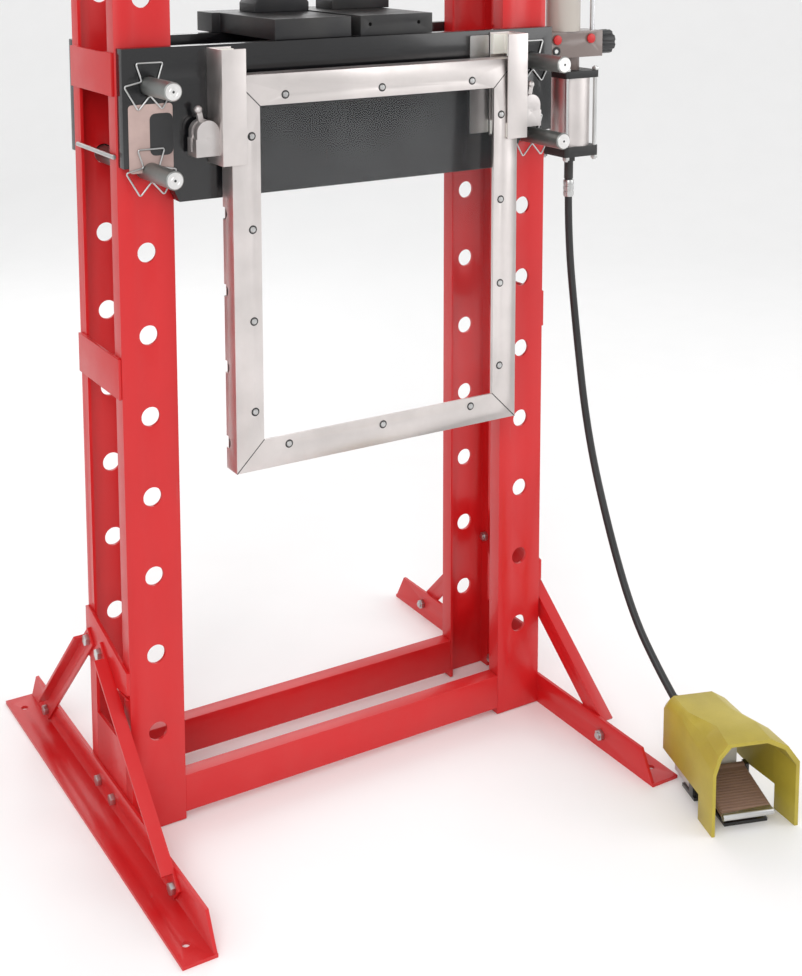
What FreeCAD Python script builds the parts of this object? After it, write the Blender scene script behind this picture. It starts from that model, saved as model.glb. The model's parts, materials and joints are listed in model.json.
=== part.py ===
"""Air-hydraulic shop press, 50 tonne class: a welded two-column frame with an adjustable bolster,
a sliding guard, a ram under the head, an air pump on the right column and a foot pedal on a hose.

Millimetres, +Z up, front towards -Y.  Positions along X are counted from the outer face of the
left upright and along Y from the front face of the uprights; press_x and press_y move that corner
so that the origin lies under the middle of the whole machine.
"""
import FreeCAD, Part
import Sketcher
import math
import os
import re
from FreeCAD import Placement, Rotation, Vector

os.makedirs("parts", exist_ok=True)
doc = FreeCAD.newDocument("ShopPress")

# ---------------------------------------------------------------- driving dimensions
SIZES = {
    # place of the frame's corner over the origin
    "press_x": -501.0, "press_y": 10.1,
    # uprights: two facing channels on each side
    "post_wide": 100, "post_deep": 30, "post_web": 6, "post_top": 2000, "post_foot": 2,
    "upright_pitch": 776.7, "column_deep": 198,
    "hole_slack": 1.5, "hole_first": 182, "hole_pitch": 142,
    # lower rails and feet
    "rail_high": 68, "rail_low": 15, "rail_deep": 30, "rail_wall": 5,
    "foot_leg": 60, "foot_wall": 6, "foot_front": 347, "foot_back": 545, "foot_chamfer": 34,
    # side plates, gussets and braces
    "plate_thick": 5, "batten_high": 70, "batten_first": 787, "batten_pitch": 513,
    "gusset_low": 252, "gusset_high": 92, "gusset_bolt": 289, "brace_wide": 34, "brace_wall": 5,
    "brace_flange": 24, "brace_front": 200, "brace_back": 430, "brace_foot": 30,
    # head
    "head_low": 1790, "head_high": 210, "head_thick": 20, "carriage_low": 1850, "carriage_thick": 40,
    "carriage_wide": 200,
    # ram and its cylinder
    "ram_bore": 50, "cylinder_rad": 65, "cylinder_low": 1665, "cylinder_top": 1940,
    "cap_thick": 30, "gland_high": 35, "piston_high": 30, "rod_rad": 35, "rod_bore": 24,
    "nose_rad": 30, "nose_low": 1610, "rod_low": 1640, "shoulder_gap": 14, "shoulder_high": 20,
    "nut_rad": 82, "nut_high": 25, "ram_gap": 0.06,
    # bolster
    "bolster_thick": 25, "bolster_top": 1379, "bolster_end": 196.5, "bolster_deep": 260,
    "bolster_inset": 3, "bolster_gap": 0.5, "pin_row": 7,
    # locking pins and their spring clips
    "pin_rad": 15.5, "pin_front": 125, "pin_back": 46, "pin_drop": 1.2, "bolster_slack": 1, "clip_wire": 1.5,
    "clip_reach": 45, "clip_plane": 28,
    # guard
    "guard_left": 172, "guard_wide": 581, "guard_low": 650, "guard_high": 680, "guard_back": 39.5,
    "guard_deep": 40, "guard_rail": 28, "guard_lip": 24, "guard_wall": 2.5, "lip_thick": 4,
    "panel_thick": 4, "notch_rad": 10.8, "notch_pitch": 133, "notch_count": 5,
    "sleeve_wide": 44, "sleeve_deep": 60, "sleeve_low": 1182, "sleeve_high": 193, "sleeve_wall": 3,
    "sleeve_slack": 19, "slide_gap": 0.4,
    # latches
    "latch_z": 1229, "latch_front": 72, "latch_deep": 35, "latch_wide": 42, "latch_high": 30,
    "latch_slot": 8, "lever_thick": 7.4, "lever_long": 48, "cam_rad": 13, "cam_throw": 7,
    "pivot_rad": 2.5, "plunger_rad": 5, "plunger_gap": 0.08, "plunger_y": 48,
    # pump
    "pump_out": 85.3, "pump_y": 36, "tank_out": 66.3, "tank_rad": 34, "tank_wall": 2,
    "tank_high": 336, "block_long": 143.3, "block_low": 1313, "block_high": 51,
    "block_deep": 56, "motor_corner": 9, "scallop_out": 3, "scallop_rad": 5.6,
    "neck_rad": 18, "neck_high": 26, "motor_plate": 84, "motor_top_thick": 14, "motor_low": 1118,
    "motor_low_thick": 20, "motor_rad": 39, "motor_wall": 2.5, "tie_rad": 4, "tie_inset": 7,
    "motor_rod": 8, "motor_piston": 14, "knob_rad": 24, "knob_long": 32, "knob_stem": 6,
    "line_rad": 5, "line_out": 130.3, "line_y": 25, "line_top": 2040, "line_bend": 30,
    # pedal, in its own frame
    "pedal_x": 863.8, "pedal_y": -511.9, "pedal_turn": -17.9, "hood_wide": 163.7, "hood_long": 205,
    "hood_high": 168, "hood_wall": 6, "hood_leg": 55, "hood_skirt": 47, "hood_ridge": 60,
    "hood_waist": 127, "hood_back_high": 157, "body_wide": 136, "back_drop": 17,
    "base_wall": 6, "base_left": 36, "base_wide": 82, "base_front": 24, "base_back": 178,
    "treadle_left": 24, "treadle_wide": 95, "treadle_long": 112, "treadle_tilt": 9.5,
    "treadle_thick": 8, "hinge_rad": 3, "hinge_v": 119, "hinge_z": 48, "barrel_rad": 7,
    "lug_thick": 7, "valve_left": 22, "valve_wide": 88, "valve_front": 128, "valve_top": 114,
    "inlet_u": 88, "inlet_z": 68, "inlet_rad": 6.58,
    # hose
    "hose_rad": 7.5, "fitting_rad": 9, "fitting_high": 50,
    # tooling on the bolster
    "arbor_left": 287, "arbor_wide": 151, "arbor_long": 285, "arbor_thick": 36, "arbor_front": 15,
    "arbor_gap": 19, "ear_wide": 17, "ear_long": 65, "rest_gap": 0.3, "vee_wide": 112,
    "vee_deep": 65, "vee_high": 110, "vee_y": 158,
    # fasteners
    "bolt_rad": 6, "bolt_head": 10.5, "bolt_thick": 8, "big_bolt_rad": 8, "big_bolt_head": 14,
    "screw_rad": 3.2, "screw_head": 5.5, "screw_first": 100,
}

sheet = doc.addObject("Spreadsheet::Sheet", "Sizes")
for row, (alias, value) in enumerate(SIZES.items(), start=1):
    sheet.set(f"A{row}", alias)
    sheet.set(f"B{row}", str(value))
    sheet.setAlias(f"B{row}", alias)
doc.recompute()

WORD = re.compile(r"[a-z][a-z_]*[a-z]")
PRESS = ("press_x + ", "press_y + ")
LOCAL = ("", "")
NODES = []


def cells(expression):
    """Turn plain alias names into references to the sheet."""
    return WORD.sub(lambda hit: "Sizes." + hit.group(0), str(expression))


def value(expression):
    """The number that an expression of aliases stands for, worked out on a spare point."""
    probe = doc.getObject("Probe") or doc.addObject("Part::Vertex", "Probe")
    probe.setExpression("X", cells(expression))
    probe.recompute()
    return float(probe.X)


def place(thing, x, y, z, turn=None, origin=PRESS):
    """Bind a thing's position to the sheet and set its turn."""
    if turn is not None:
        thing.Placement = Placement(Vector(), turn)
    thing.setExpression("Placement.Base.x", cells(origin[0] + f"({x})"))
    thing.setExpression("Placement.Base.y", cells(origin[1] + f"({y})"))
    thing.setExpression("Placement.Base.z", cells(z))
    return thing


def box(x, y, z, length, width, height, origin=PRESS):
    thing = doc.addObject("Part::Box", "Block")
    thing.setExpression("Length", cells(length))
    thing.setExpression("Width", cells(width))
    thing.setExpression("Height", cells(height))
    return place(thing, x, y, z, origin=origin)


TURNS = {"x": Rotation(Vector(0, 1, 0), 90), "y": Rotation(Vector(1, 0, 0), -90),
         "z": Rotation()}


def rod(x, y, z, radius, length, along="z", origin=PRESS):
    """A cylinder that starts at the point and runs along +X, +Y or +Z."""
    thing = doc.addObject("Part::Cylinder", "Rod")
    thing.setExpression("Radius", cells(radius))
    thing.setExpression("Height", cells(length))
    return place(thing, x, y, z, TURNS[along], origin)


def cone(x, y, z, radius, end_radius, length, along="z", origin=PRESS):
    thing = doc.addObject("Part::Cone", "Taper")
    thing.setExpression("Radius1", cells(radius))
    thing.setExpression("Radius2", cells(end_radius))
    thing.setExpression("Height", cells(length))
    return place(thing, x, y, z, TURNS[along], origin)


def hexagon(x, y, z, radius, length, along="z", origin=PRESS):
    thing = doc.addObject("Part::Prism", "Hexagon")
    thing.Polygon = 6
    thing.setExpression("Circumradius", cells(radius))
    thing.setExpression("Height", cells(length))
    return place(thing, x, y, z, TURNS[along], origin)


def join(*things):
    whole = doc.addObject("Part::MultiFuse", "Join")
    whole.Shapes = list(things)
    return whole


def cut(base, *tools):
    """Take the tools out of the base, as one cut."""
    result = doc.addObject("Part::Cut", "Cut")
    result.Base = base
    if len(tools) == 1:
        result.Tool = tools[0]
    else:
        result.Tool = group(*tools)
    return result


def group(*things):
    whole = doc.addObject("Part::Compound", "Group")
    whole.Links = list(things)
    return whole


FACING = {"z": Rotation(), "y": Rotation(Vector(1, 0, 0), 90),
          "x": Rotation(Vector(1, 1, 1), 120)}


def prism(outline, depth, along, x, y, z, origin=PRESS):
    """A PartDesign body: a polygon sketch, every corner bound to the sheet, padded to a depth.

    along "z" pads an XY outline up, "y" pads an XZ outline towards -Y from y, and "x" pads a YZ
    outline towards +X.  Outline coordinates are counted from the body's own corner, none negative.
    """
    body = doc.addObject("PartDesign::Body", "Body")
    sketch = body.newObject("Sketcher::SketchObject", "Outline")
    plane = [item for item in body.Origin.OriginFeatures if item.Role == "XY_Plane"][0]
    sketch.AttachmentSupport = (plane, [""])
    sketch.MapMode = "FlatFace"
    corners = [Vector(value(u), value(v), 0) for u, v in outline]
    count = len(corners)
    for index in range(count):
        sketch.addGeometry(Part.LineSegment(corners[index], corners[(index + 1) % count]), False)
    for index in range(count):
        sketch.addConstraint(Sketcher.Constraint("Coincident", index, 2, (index + 1) % count, 1))
    for index, (u, v) in enumerate(outline):
        for axis, kind, expression, line in ((0, "DistanceX", u, -2), (1, "DistanceY", v, -1)):
            distance = corners[index][axis]
            if abs(distance) < 1e-9:
                sketch.addConstraint(Sketcher.Constraint("PointOnObject", index, 1, line))
                continue
            number = sketch.addConstraint(Sketcher.Constraint(kind, -1, 1, index, 1, distance))
            sketch.setExpression(f"Constraints[{number}]", cells(expression))
    pad = body.newObject("PartDesign::Pad", "Pad")
    pad.Profile = sketch
    pad.setExpression("Length", cells(depth))
    return place(body, x, y, z, FACING[along], origin)


def mirror_copy(thing, about_x):
    """A copy mirrored in the plane X = about_x (press coordinates)."""
    copy = doc.addObject("Part::Mirroring", "Mirror")
    copy.Source = thing
    copy.Normal = Vector(1, 0, 0)
    copy.setExpression("Base.x", cells("press_x + " + about_x))
    return copy


def node(name, thing):
    """Name a finished sub-part."""
    thing.Label = name
    NODES.append(thing)
    return thing


def shaped(name, shape):
    """A sub-part whose shape is made directly."""
    thing = doc.addObject("Part::Feature", name)
    thing.Shape = shape
    return node(name, thing)


MIDDLE = "(upright_pitch + post_wide)/2"
GUARD_MIDDLE = "guard_left + guard_wide/2"
RAIL_START = "column_deep - post_deep"


# ---------------------------------------------------------------- uprights
HOLES = 11
FRONT_GUSSET_BOLT = "column_deep - 82"
REAR_GUSSET_BOLT = "column_deep - 22"


def upright(name, x, rear):
    """A channel with its web outwards and a row of pin holes in the web."""
    outline = [("0", "0"), ("post_wide", "0"), ("post_wide", "post_deep"),
               ("post_wide - post_web", "post_deep"), ("post_wide - post_web", "post_web"),
               ("post_web", "post_web"), ("post_web", "post_deep"), ("0", "post_deep")]
    start = "0"
    web = "0"
    if rear:
        outline = [(u, f"post_deep - ({v})") for u, v in reversed(outline)]
        start = "column_deep - post_deep"
        web = "column_deep - post_web"
    body = prism(outline, "post_top - post_foot", "z", x, start, "post_foot")
    tools = [rod(f"{x} + post_wide/2", f"{web} - 1", f"hole_first + {k}*hole_pitch",
                 "pin_rad + hole_slack", "post_web + 2", "y") for k in range(HOLES)]
    for height in HEAD_BOLT_Z:
        for inset in HEAD_BOLT_X:
            tools.append(rod(f"{x} + {inset}", f"{web} - 1", height, "big_bolt_rad + 0.5",
                             "post_web + 2", "y"))
    if rear:
        outer = x if x == "0" else f"{x} + post_wide - post_web"
        tools.append(rod(f"{outer} - 1", REAR_GUSSET_BOLT, "gusset_bolt", "bolt_rad + 0.4",
                         "post_web + 2", "x"))
    return node(name, cut(body, *tools))


HEAD_BOLT_Z = ("head_low + 45", "head_low + head_high - 45")
HEAD_BOLT_X = ("post_wide/2 - 24", "post_wide/2 + 24")
upright("post_left_front", "0", False)
upright("post_left_rear", "0", True)
upright("post_right_front", "upright_pitch", False)
upright("post_right_rear", "upright_pitch", True)

# ---------------------------------------------------------------- lower rails
RAIL_OUTLINE = [("0", "0"), ("rail_deep", "0"), ("rail_deep", "rail_wall"),
                ("rail_wall", "rail_wall"), ("rail_wall", "rail_high - rail_wall"),
                ("rail_deep", "rail_high - rail_wall"), ("rail_deep", "rail_high"),
                ("0", "rail_high")]
rails = [prism(RAIL_OUTLINE, "upright_pitch - post_wide", "x", "post_wide", y, "rail_low")
         for y in ("0", "column_deep - rail_deep")]
node("lower_rails", group(*rails))

# ---------------------------------------------------------------- feet
FOOT_BOLT_Y = ("79", "column_deep - 50")
BRACE_ENDS = ((FRONT_GUSSET_BOLT, "0 - brace_front"), (REAR_GUSSET_BOLT, "brace_back"))


def foot():
    """An angle bar along the outer side of the left column, its ends cut on a slant."""
    reach = "foot_front + foot_back"
    upright_leg = prism([("0", "0"), (reach, "0"), (f"{reach} - foot_chamfer", "foot_leg"),
                         ("foot_chamfer", "foot_leg")], "foot_wall", "x",
                        "0 - foot_wall", "0 - foot_front", "0")
    floor_leg = box("0 - foot_leg", "0 - foot_front", "0", "foot_leg", reach, "foot_wall")
    bar = join(upright_leg, floor_leg)
    holes = [rod("0 - foot_wall - 1", y, "brace_foot", "bolt_rad + 0.4", "foot_wall + 2", "x")
             for y in FOOT_BOLT_Y]
    holes += [rod("0 - foot_wall - 1", end, "brace_foot", "bolt_rad + 0.4", "foot_wall + 2", "x")
              for start, end in BRACE_ENDS]
    holes += [rod("0 - foot_leg*0.58", y, "0 - 1", "7", "foot_wall + 2")
              for y in ("45 - foot_front", "foot_back - 45")]
    return cut(bar, *holes)


left_foot = foot()
node("feet", group(left_foot, mirror_copy(left_foot, MIDDLE)))

# ---------------------------------------------------------------- side plates and gussets
battens = [box("0 - plate_thick", "2", f"batten_first + {k}*batten_pitch", "plate_thick",
               "column_deep - 4", "batten_high") for k in range(2)]
filler = cut(box("0", "post_deep", "12", "post_web", "column_deep - 2*post_deep", "138"),
             *[rod("0 - 1", y, "brace_foot", "bolt_rad + 0.4", "post_web + 2", "x")
               for y in FOOT_BOLT_Y])
gusset = cut(prism([("0", "10"), ("60", "0"), ("column_deep", "0"), ("column_deep", "gusset_high"),
                    ("column_deep - 30", "gusset_high"), ("0", "50")], "foot_wall", "x",
                   "0 - foot_wall", "0", "gusset_low"),
             *[rod("0 - foot_wall - 1", start, "gusset_bolt", "bolt_rad + 0.4", "foot_wall + 2",
                   "x") for start, end in BRACE_ENDS])
left_plates = battens + [filler, gusset]
node("side_plates", group(*left_plates, *[mirror_copy(plate, MIDDLE) for plate in left_plates]))


# ---------------------------------------------------------------- braces
def brace(start, end):
    """An angle strut from a gusset bolt down to a foot bolt, on the left side."""
    top = Vector(0, value(start), value("gusset_bolt"))
    low = Vector(0, value(end), value("brace_foot"))
    lean = math.degrees(math.atan2(top.y - low.y, top.z - low.z))
    span = (top - low).Length
    flat = doc.addObject("Part::Box", "Strut")
    flange = doc.addObject("Part::Box", "Flange")
    ends = []
    for along in (0, span):
        eye = doc.addObject("Part::Cylinder", "Eye")
        eye.setExpression("Radius", cells("bolt_rad + 0.4"))
        eye.Height = 20
        eye.Placement = Placement(Vector(-15, 0, along), Rotation(Vector(0, 1, 0), 90))
        ends.append(eye)
    outer = 13
    flat.Height = span + 2 * outer
    flat.setExpression("Length", cells("brace_wall"))
    flat.setExpression("Width", cells("brace_wide"))
    flat.Placement = Placement(Vector(-value("brace_wall"), -value("brace_wide") / 2, -outer),
                               Rotation())
    flange.Height = span - 2 * outer - 8
    flange.setExpression("Length", cells("brace_flange"))
    flange.setExpression("Width", cells("brace_wall"))
    side = -value("brace_wide") / 2 if lean > 0 else value("brace_wide") / 2 - value("brace_wall")
    flange.Placement = Placement(Vector(-value("brace_flange"), side, outer + 4), Rotation())
    bar = cut(join(flat, flange), *ends)
    bar.Placement = Placement(Vector(value("press_x - foot_wall"), value("press_y") + low.y, low.z),
                              Rotation(Vector(1, 0, 0), -lean))
    return bar


left_braces = [brace(start, end) for start, end in BRACE_ENDS]
node("foot_braces", group(*left_braces, *[mirror_copy(bar, MIDDLE) for bar in left_braces]))


# ---------------------------------------------------------------- frame bolts
def bolt(x, y, z, grip, along, shank="bolt_rad", head="bolt_head", sign=1):
    """A hexagon bolt and its nut; the head's bearing face lies at the point."""
    at = (x, y, z)
    axis = 0 if along == "x" else 1

    def shift(amount):
        spot = list(at)
        spot[axis] = f"({at[axis]}) + ({amount})"
        return spot
    if sign > 0:
        parts = join(hexagon(*shift("0 - bolt_thick"), head, "bolt_thick", along),
                     rod(*shift("0 - 1"), shank, f"{grip} + bolt_thick + 5", along))
        nut = cut(hexagon(*shift(grip), head, "bolt_thick", along),
                  rod(*shift(f"{grip} - 1"), shank, "bolt_thick + 2", along))
    else:
        parts = join(hexagon(*shift("0"), head, "bolt_thick", along),
                     rod(*shift(f"0 - ({grip}) - bolt_thick - 4"), shank,
                         f"{grip} + bolt_thick + 5", along))
        nut = cut(hexagon(*shift(f"0 - ({grip}) - bolt_thick"), head, "bolt_thick", along),
                  rod(*shift(f"0 - ({grip}) - bolt_thick - 1"), shank, "bolt_thick + 2", along))
    return [parts, nut]


side_bolts = []
for y in FOOT_BOLT_Y:
    side_bolts += bolt("0 - foot_wall", y, "brace_foot", "foot_wall + post_web", "x")
for start, end in BRACE_ENDS:
    side_bolts += bolt("0 - foot_wall - brace_wall", end, "brace_foot",
                       "foot_wall + brace_wall", "x")
    grip = "foot_wall + brace_wall" + (" + post_web" if start == REAR_GUSSET_BOLT else "")
    side_bolts += bolt("0 - foot_wall - brace_wall", start, "gusset_bolt", grip, "x")
side_bolts += [mirror_copy(item, MIDDLE) for item in side_bolts]
for corner in ("0", "upright_pitch"):
    for height in HEAD_BOLT_Z:
        for inset in HEAD_BOLT_X:
            side_bolts += bolt(f"{corner} + {inset}", "0 - head_thick", height,
                               "head_thick + post_web", "y", "big_bolt_rad", "big_bolt_head")
            side_bolts += bolt(f"{corner} + {inset}", "column_deep + head_thick", height,
                               "head_thick + post_web", "y", "big_bolt_rad", "big_bolt_head", -1)
tie = rod("0 - tie_rad", "1", "1200", "tie_rad", "column_deep - post_deep + 4", "y")
side_bolts += [tie, mirror_copy(tie, MIDDLE)]
node("frame_bolts", group(*side_bolts))


# ---------------------------------------------------------------- head
def head_beam(y):
    """A deep plate bolted across the two columns, with its lower corners cut."""
    width = "upright_pitch + post_wide"
    plate = prism([("0", "35"), ("post_wide + 25", "0"), (f"{width} - post_wide - 25", "0"),
                   (width, "35"), (width, "head_high"), ("0", "head_high")],
                  "head_thick", "y", "0", f"{y} + head_thick", "head_low")
    holes = [rod(f"{corner} + {inset}", f"{y} - 1", height, "big_bolt_rad + 0.5",
                 "head_thick + 2", "y") for corner in ("0", "upright_pitch")
             for height in HEAD_BOLT_Z for inset in HEAD_BOLT_X]
    return cut(plate, *holes)


node("head_beams", group(head_beam("0 - head_thick"), head_beam("column_deep")))

MID_Y = "column_deep/2"
node("cylinder_carriage", cut(
    box(f"{MIDDLE} - carriage_wide/2", "0", "carriage_low", "carriage_wide", "column_deep",
        "carriage_thick"),
    rod(MIDDLE, MID_Y, "carriage_low - 1", "cylinder_rad + 0.3", "carriage_thick + 2")))

# ---------------------------------------------------------------- ram
barrel = join(
    rod(MIDDLE, MID_Y, "cylinder_low", "cylinder_rad", "cylinder_top - cylinder_low"),
    rod(MIDDLE, MID_Y, "carriage_low - shoulder_high", "column_deep/2 - shoulder_gap",
        "shoulder_high"))
port = rod(f"{MIDDLE} + 30", MID_Y, "cylinder_top - cap_thick - 1", "3", "cap_thick + 2")
node("cylinder_body", cut(barrel, rod(MIDDLE, MID_Y, "cylinder_low - 1", "ram_bore",
                                      "cylinder_top - cylinder_low - cap_thick + 1"), port))
node("cylinder_gland", cut(
    rod(MIDDLE, MID_Y, "cylinder_low", "ram_bore - 0.03", "gland_high"),
    rod(MIDDLE, MID_Y, "cylinder_low - 1", "rod_rad + ram_gap", "gland_high + 2")))
ring = cut(rod(MIDDLE, MID_Y, "carriage_low + carriage_thick", "nut_rad", "nut_high"),
           rod(MIDDLE, MID_Y, "carriage_low + carriage_thick - 1", "cylinder_rad + 0.1",
               "nut_high + 2"))
node("cylinder_ring_nut", cut(ring, *[
    box(f"{MIDDLE} + nut_rad*{math.cos(math.radians(angle)):.6f} - 6",
        f"{MID_Y} + nut_rad*{math.sin(math.radians(angle)):.6f} - 6",
        "carriage_low + carriage_thick - 1", "12", "12", "nut_high + 2")
    for angle in (45, 135, 225, 315)]))
PISTON_LOW = "(cylinder_top - cap_thick - 6 - piston_high)"
node("piston", cut(rod(MIDDLE, MID_Y, PISTON_LOW, "ram_bore - ram_gap", "piston_high"),
                   rod(MIDDLE, MID_Y, f"{PISTON_LOW} - 1", "rod_bore", "piston_high + 2")))
node("ram_rod", cut(rod(MIDDLE, MID_Y, "rod_low", "rod_rad", f"{PISTON_LOW} - rod_low"),
                    rod(MIDDLE, MID_Y, "rod_low + 20", "rod_bore", f"{PISTON_LOW} - rod_low")))
node("ram_nose", join(rod(MIDDLE, MID_Y, "nose_low + 6", "nose_rad", "rod_low - nose_low - 6"),
                      cone(MIDDLE, MID_Y, "nose_low", "nose_rad - 6", "nose_rad", "6")))


def coil(radius, wire, pitch, height, base):
    """A round-wire helical spring standing on a base point."""
    helix = Part.makeHelix(pitch, height, radius)
    profile = Part.Wire(Part.makeCircle(wire, Vector(radius, 0, 0), Vector(0, 1, 0)))
    spring = Part.Wire(helix).makePipeShell([profile], True, True)
    spring.translate(base)
    return spring


SPRING_RADIUS = 18
SPRING_WIRE = 2.4
spring_low = value("rod_low") + 20 + SPRING_WIRE
spring_high = value("cylinder_top - cap_thick") - SPRING_WIRE
shaped("return_spring", coil(SPRING_RADIUS, SPRING_WIRE, (spring_high - spring_low) / 12,
                             spring_high - spring_low,
                             Vector(value("press_x + " + MIDDLE), value("press_y + " + MID_Y),
                                    spring_low)))

# ---------------------------------------------------------------- pressure gauge
GAUGE_X = "640"
GAUGE_Z = "head_low + 150"
gauge = rod(GAUGE_X, "0 - head_thick - 34", GAUGE_Z, "48", "34", "y")
node("gauge_case", cut(gauge, rod(GAUGE_X, "0 - head_thick - 35", GAUGE_Z, "44", "13", "y"),
                       rod(GAUGE_X, "0 - head_thick - 30", GAUGE_Z, "2.05", "20", "y")))
hand = doc.addObject("Part::Box", "Hand")
hand.Length = 2.4
hand.Width = 1.2
hand.Height = 44
hand_turn = Rotation(Vector(0, 1, 0), 225)
hand.Placement = Placement(
    Vector(value("press_x + " + GAUGE_X), value("press_y - head_thick") - 26.5, value(GAUGE_Z))
    + hand_turn.multVec(Vector(-1.2, 0, -10)), hand_turn)
node("gauge_needle", join(rod(GAUGE_X, "0 - head_thick - 27", GAUGE_Z, "5", "2.5", "y"),
                          rod(GAUGE_X, "0 - head_thick - 27", GAUGE_Z, "2", "14", "y"), hand))


# ---------------------------------------------------------------- bolster
UPPER_PIN = "hole_first + (pin_row + 1)*hole_pitch - pin_drop"
LOWER_PIN = "hole_first + pin_row*hole_pitch - pin_drop"
PIN_X = ("post_wide/2", "upright_pitch + post_wide/2")


def bolster(y):
    """A deep plate with shallow ends: pins pass through it above and carry its lower edge."""
    width = "upright_pitch + post_wide - 2*bolster_inset"
    low = "bolster_top - bolster_deep"
    step = "bolster_deep - bolster_end"
    plate = prism([("0", step), ("65", step), ("82", f"{step} - 32"), ("97", "0"),
                   (f"{width} - 97", "0"), (f"{width} - 82", f"{step} - 32"),
                   (f"{width} - 65", step), (width, step), (width, "bolster_deep"),
                   ("0", "bolster_deep")],
                  "bolster_thick", "y", "bolster_inset", f"{y} + bolster_thick", low)
    holes = []
    for x in PIN_X:
        holes.append(rod(x, f"{y} - 1", UPPER_PIN, "pin_rad + bolster_slack", "bolster_thick + 2", "y"))
        holes.append(rod(x, f"{y} - 1", LOWER_PIN, "pin_rad + 0.4", "bolster_thick + 2", "y"))
    return cut(plate, *holes)


node("bolster_plates", group(bolster("0 - bolster_thick - bolster_gap"),
                             bolster("column_deep + bolster_gap")))
CROSS_X = ("post_wide + 20", f"{MIDDLE} - 6", "upright_pitch - 32")
node("bolster_cross_plates", group(*[
    box(x, "0 - bolster_gap", "bolster_top - bolster_deep + 40", "12",
        "column_deep + 2*bolster_gap", "bolster_deep - 80") for x in CROSS_X]))


# ---------------------------------------------------------------- locking pins with spring clips
def rounded_wire(points, radius, closed=False):
    """Straight runs joined by tangent arcs of one radius."""
    count = len(points)
    corners = range(count) if closed else range(1, count - 1)
    cuts = {}
    for index in corners:
        before = (points[index - 1] - points[index]).normalize()
        after = (points[(index + 1) % count] - points[index]).normalize()
        half = before.getAngle(after) / 2
        reach = radius / math.tan(half)
        centre = (before + after).normalize() * (radius / math.sin(half))
        middle = points[index] + centre - centre.normalize() * radius
        cuts[index] = (points[index] + before * reach, middle, points[index] + after * reach)
    edges = []
    last = cuts[0][2] if closed else points[0]
    order = list(range(1, count)) + ([0] if closed else [])
    for index in order:
        if index in cuts:
            edges.append(Part.LineSegment(last, cuts[index][0]).toShape())
            edges.append(Part.Arc(*cuts[index]).toShape())
            last = cuts[index][2]
        else:
            edges.append(Part.LineSegment(last, points[index]).toShape())
    return Part.Wire(edges)


def tube(path, radius):
    """A round bar swept along a wire of lines and arcs."""
    start = path.Edges[0]
    profile = Part.Wire(Part.makeCircle(radius, start.valueAt(start.FirstParameter),
                                        start.tangentAt(start.FirstParameter)))
    return path.makePipeShell([profile], True, False)


def spring_clip(x, z):
    """A sprung wire bent into three triangular loops around the pin's groove."""
    grip = value("pin_rad + clip_wire") - 1.2
    reach = value("clip_reach")
    spread = 32
    points = []
    for loop in (90, 210, 330):
        points.append((grip, loop - 60))
        points.append((reach, loop - spread))
        points.append((reach, loop + spread))
    centre = Vector(value("press_x + " + x), value("press_y - clip_plane"), value(z))
    corners = [centre + Vector(far * math.cos(math.radians(angle)), 0,
                               far * math.sin(math.radians(angle))) for far, angle in points]
    return tube(rounded_wire(corners, value("clip_wire") * 2, closed=True), value("clip_wire"))


def locking_pin(name, x, z):
    front = "0 - pin_front"
    span = "pin_front + column_deep + pin_back"
    body = join(rod(x, f"{front} + 2", z, "pin_rad", f"{span} - 4", "y"),
                cone(x, front, z, "pin_rad - 2", "pin_rad", "2", "y"),
                cone(x, f"{front} + {span} - 2", z, "pin_rad", "pin_rad - 2", "2", "y"))
    body = cut(body, rod(x, f"{front} - 1", z, "3", "13", "y"))
    node("pin_" + name, body)
    shaped("clip_" + name, spring_clip(x, z))


locking_pin("left_upper", PIN_X[0], UPPER_PIN)
locking_pin("left_lower", PIN_X[0], LOWER_PIN)
locking_pin("right_upper", PIN_X[1], UPPER_PIN)
locking_pin("right_lower", PIN_X[1], LOWER_PIN)

# ---------------------------------------------------------------- guard sleeves and guides
SLEEVE_X = "guard_left - sleeve_slack"
SLEEVE_FRONT = "0 - bolster_gap - bolster_thick - sleeve_deep"
PLUNGER_HOLE = "plunger_rad + 1"


def sleeve():
    """A channel on the bolster's face, open towards the guard."""
    shell = cut(box(SLEEVE_X, SLEEVE_FRONT, "sleeve_low", "sleeve_wide", "sleeve_deep",
                    "sleeve_high"),
                box(f"{SLEEVE_X} + sleeve_wall", f"{SLEEVE_FRONT} + sleeve_wall",
                    "sleeve_low - 1", "sleeve_wide", "sleeve_deep - 2*sleeve_wall",
                    "sleeve_high + 2"))
    return cut(shell, rod(f"{SLEEVE_X} - 1", "0 - plunger_y", "latch_z", PLUNGER_HOLE,
                          "sleeve_wall + 2", "x"))


left_sleeve = sleeve()
node("guard_sleeves", group(left_sleeve, mirror_copy(left_sleeve, GUARD_MIDDLE)))


def guide(z, height):
    """A nylon block that fills the sleeve round three sides of the guard's rail."""
    block = box(f"{SLEEVE_X} + sleeve_wall", f"{SLEEVE_FRONT} + sleeve_wall", z,
                "sleeve_wide - sleeve_wall", "sleeve_deep - 2*sleeve_wall", height)
    rail = box("guard_left - slide_gap", "0 - guard_back - guard_deep - slide_gap", f"{z} - 1",
               "100", "guard_deep + 2*slide_gap", f"{height} + 2")
    return cut(block, rail)


guides = [guide("sleeve_low + 3", "26"), guide("sleeve_low + sleeve_high - 40", "37")]
node("guard_guides", group(*guides, *[mirror_copy(item, GUARD_MIDDLE) for item in guides]))

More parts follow.
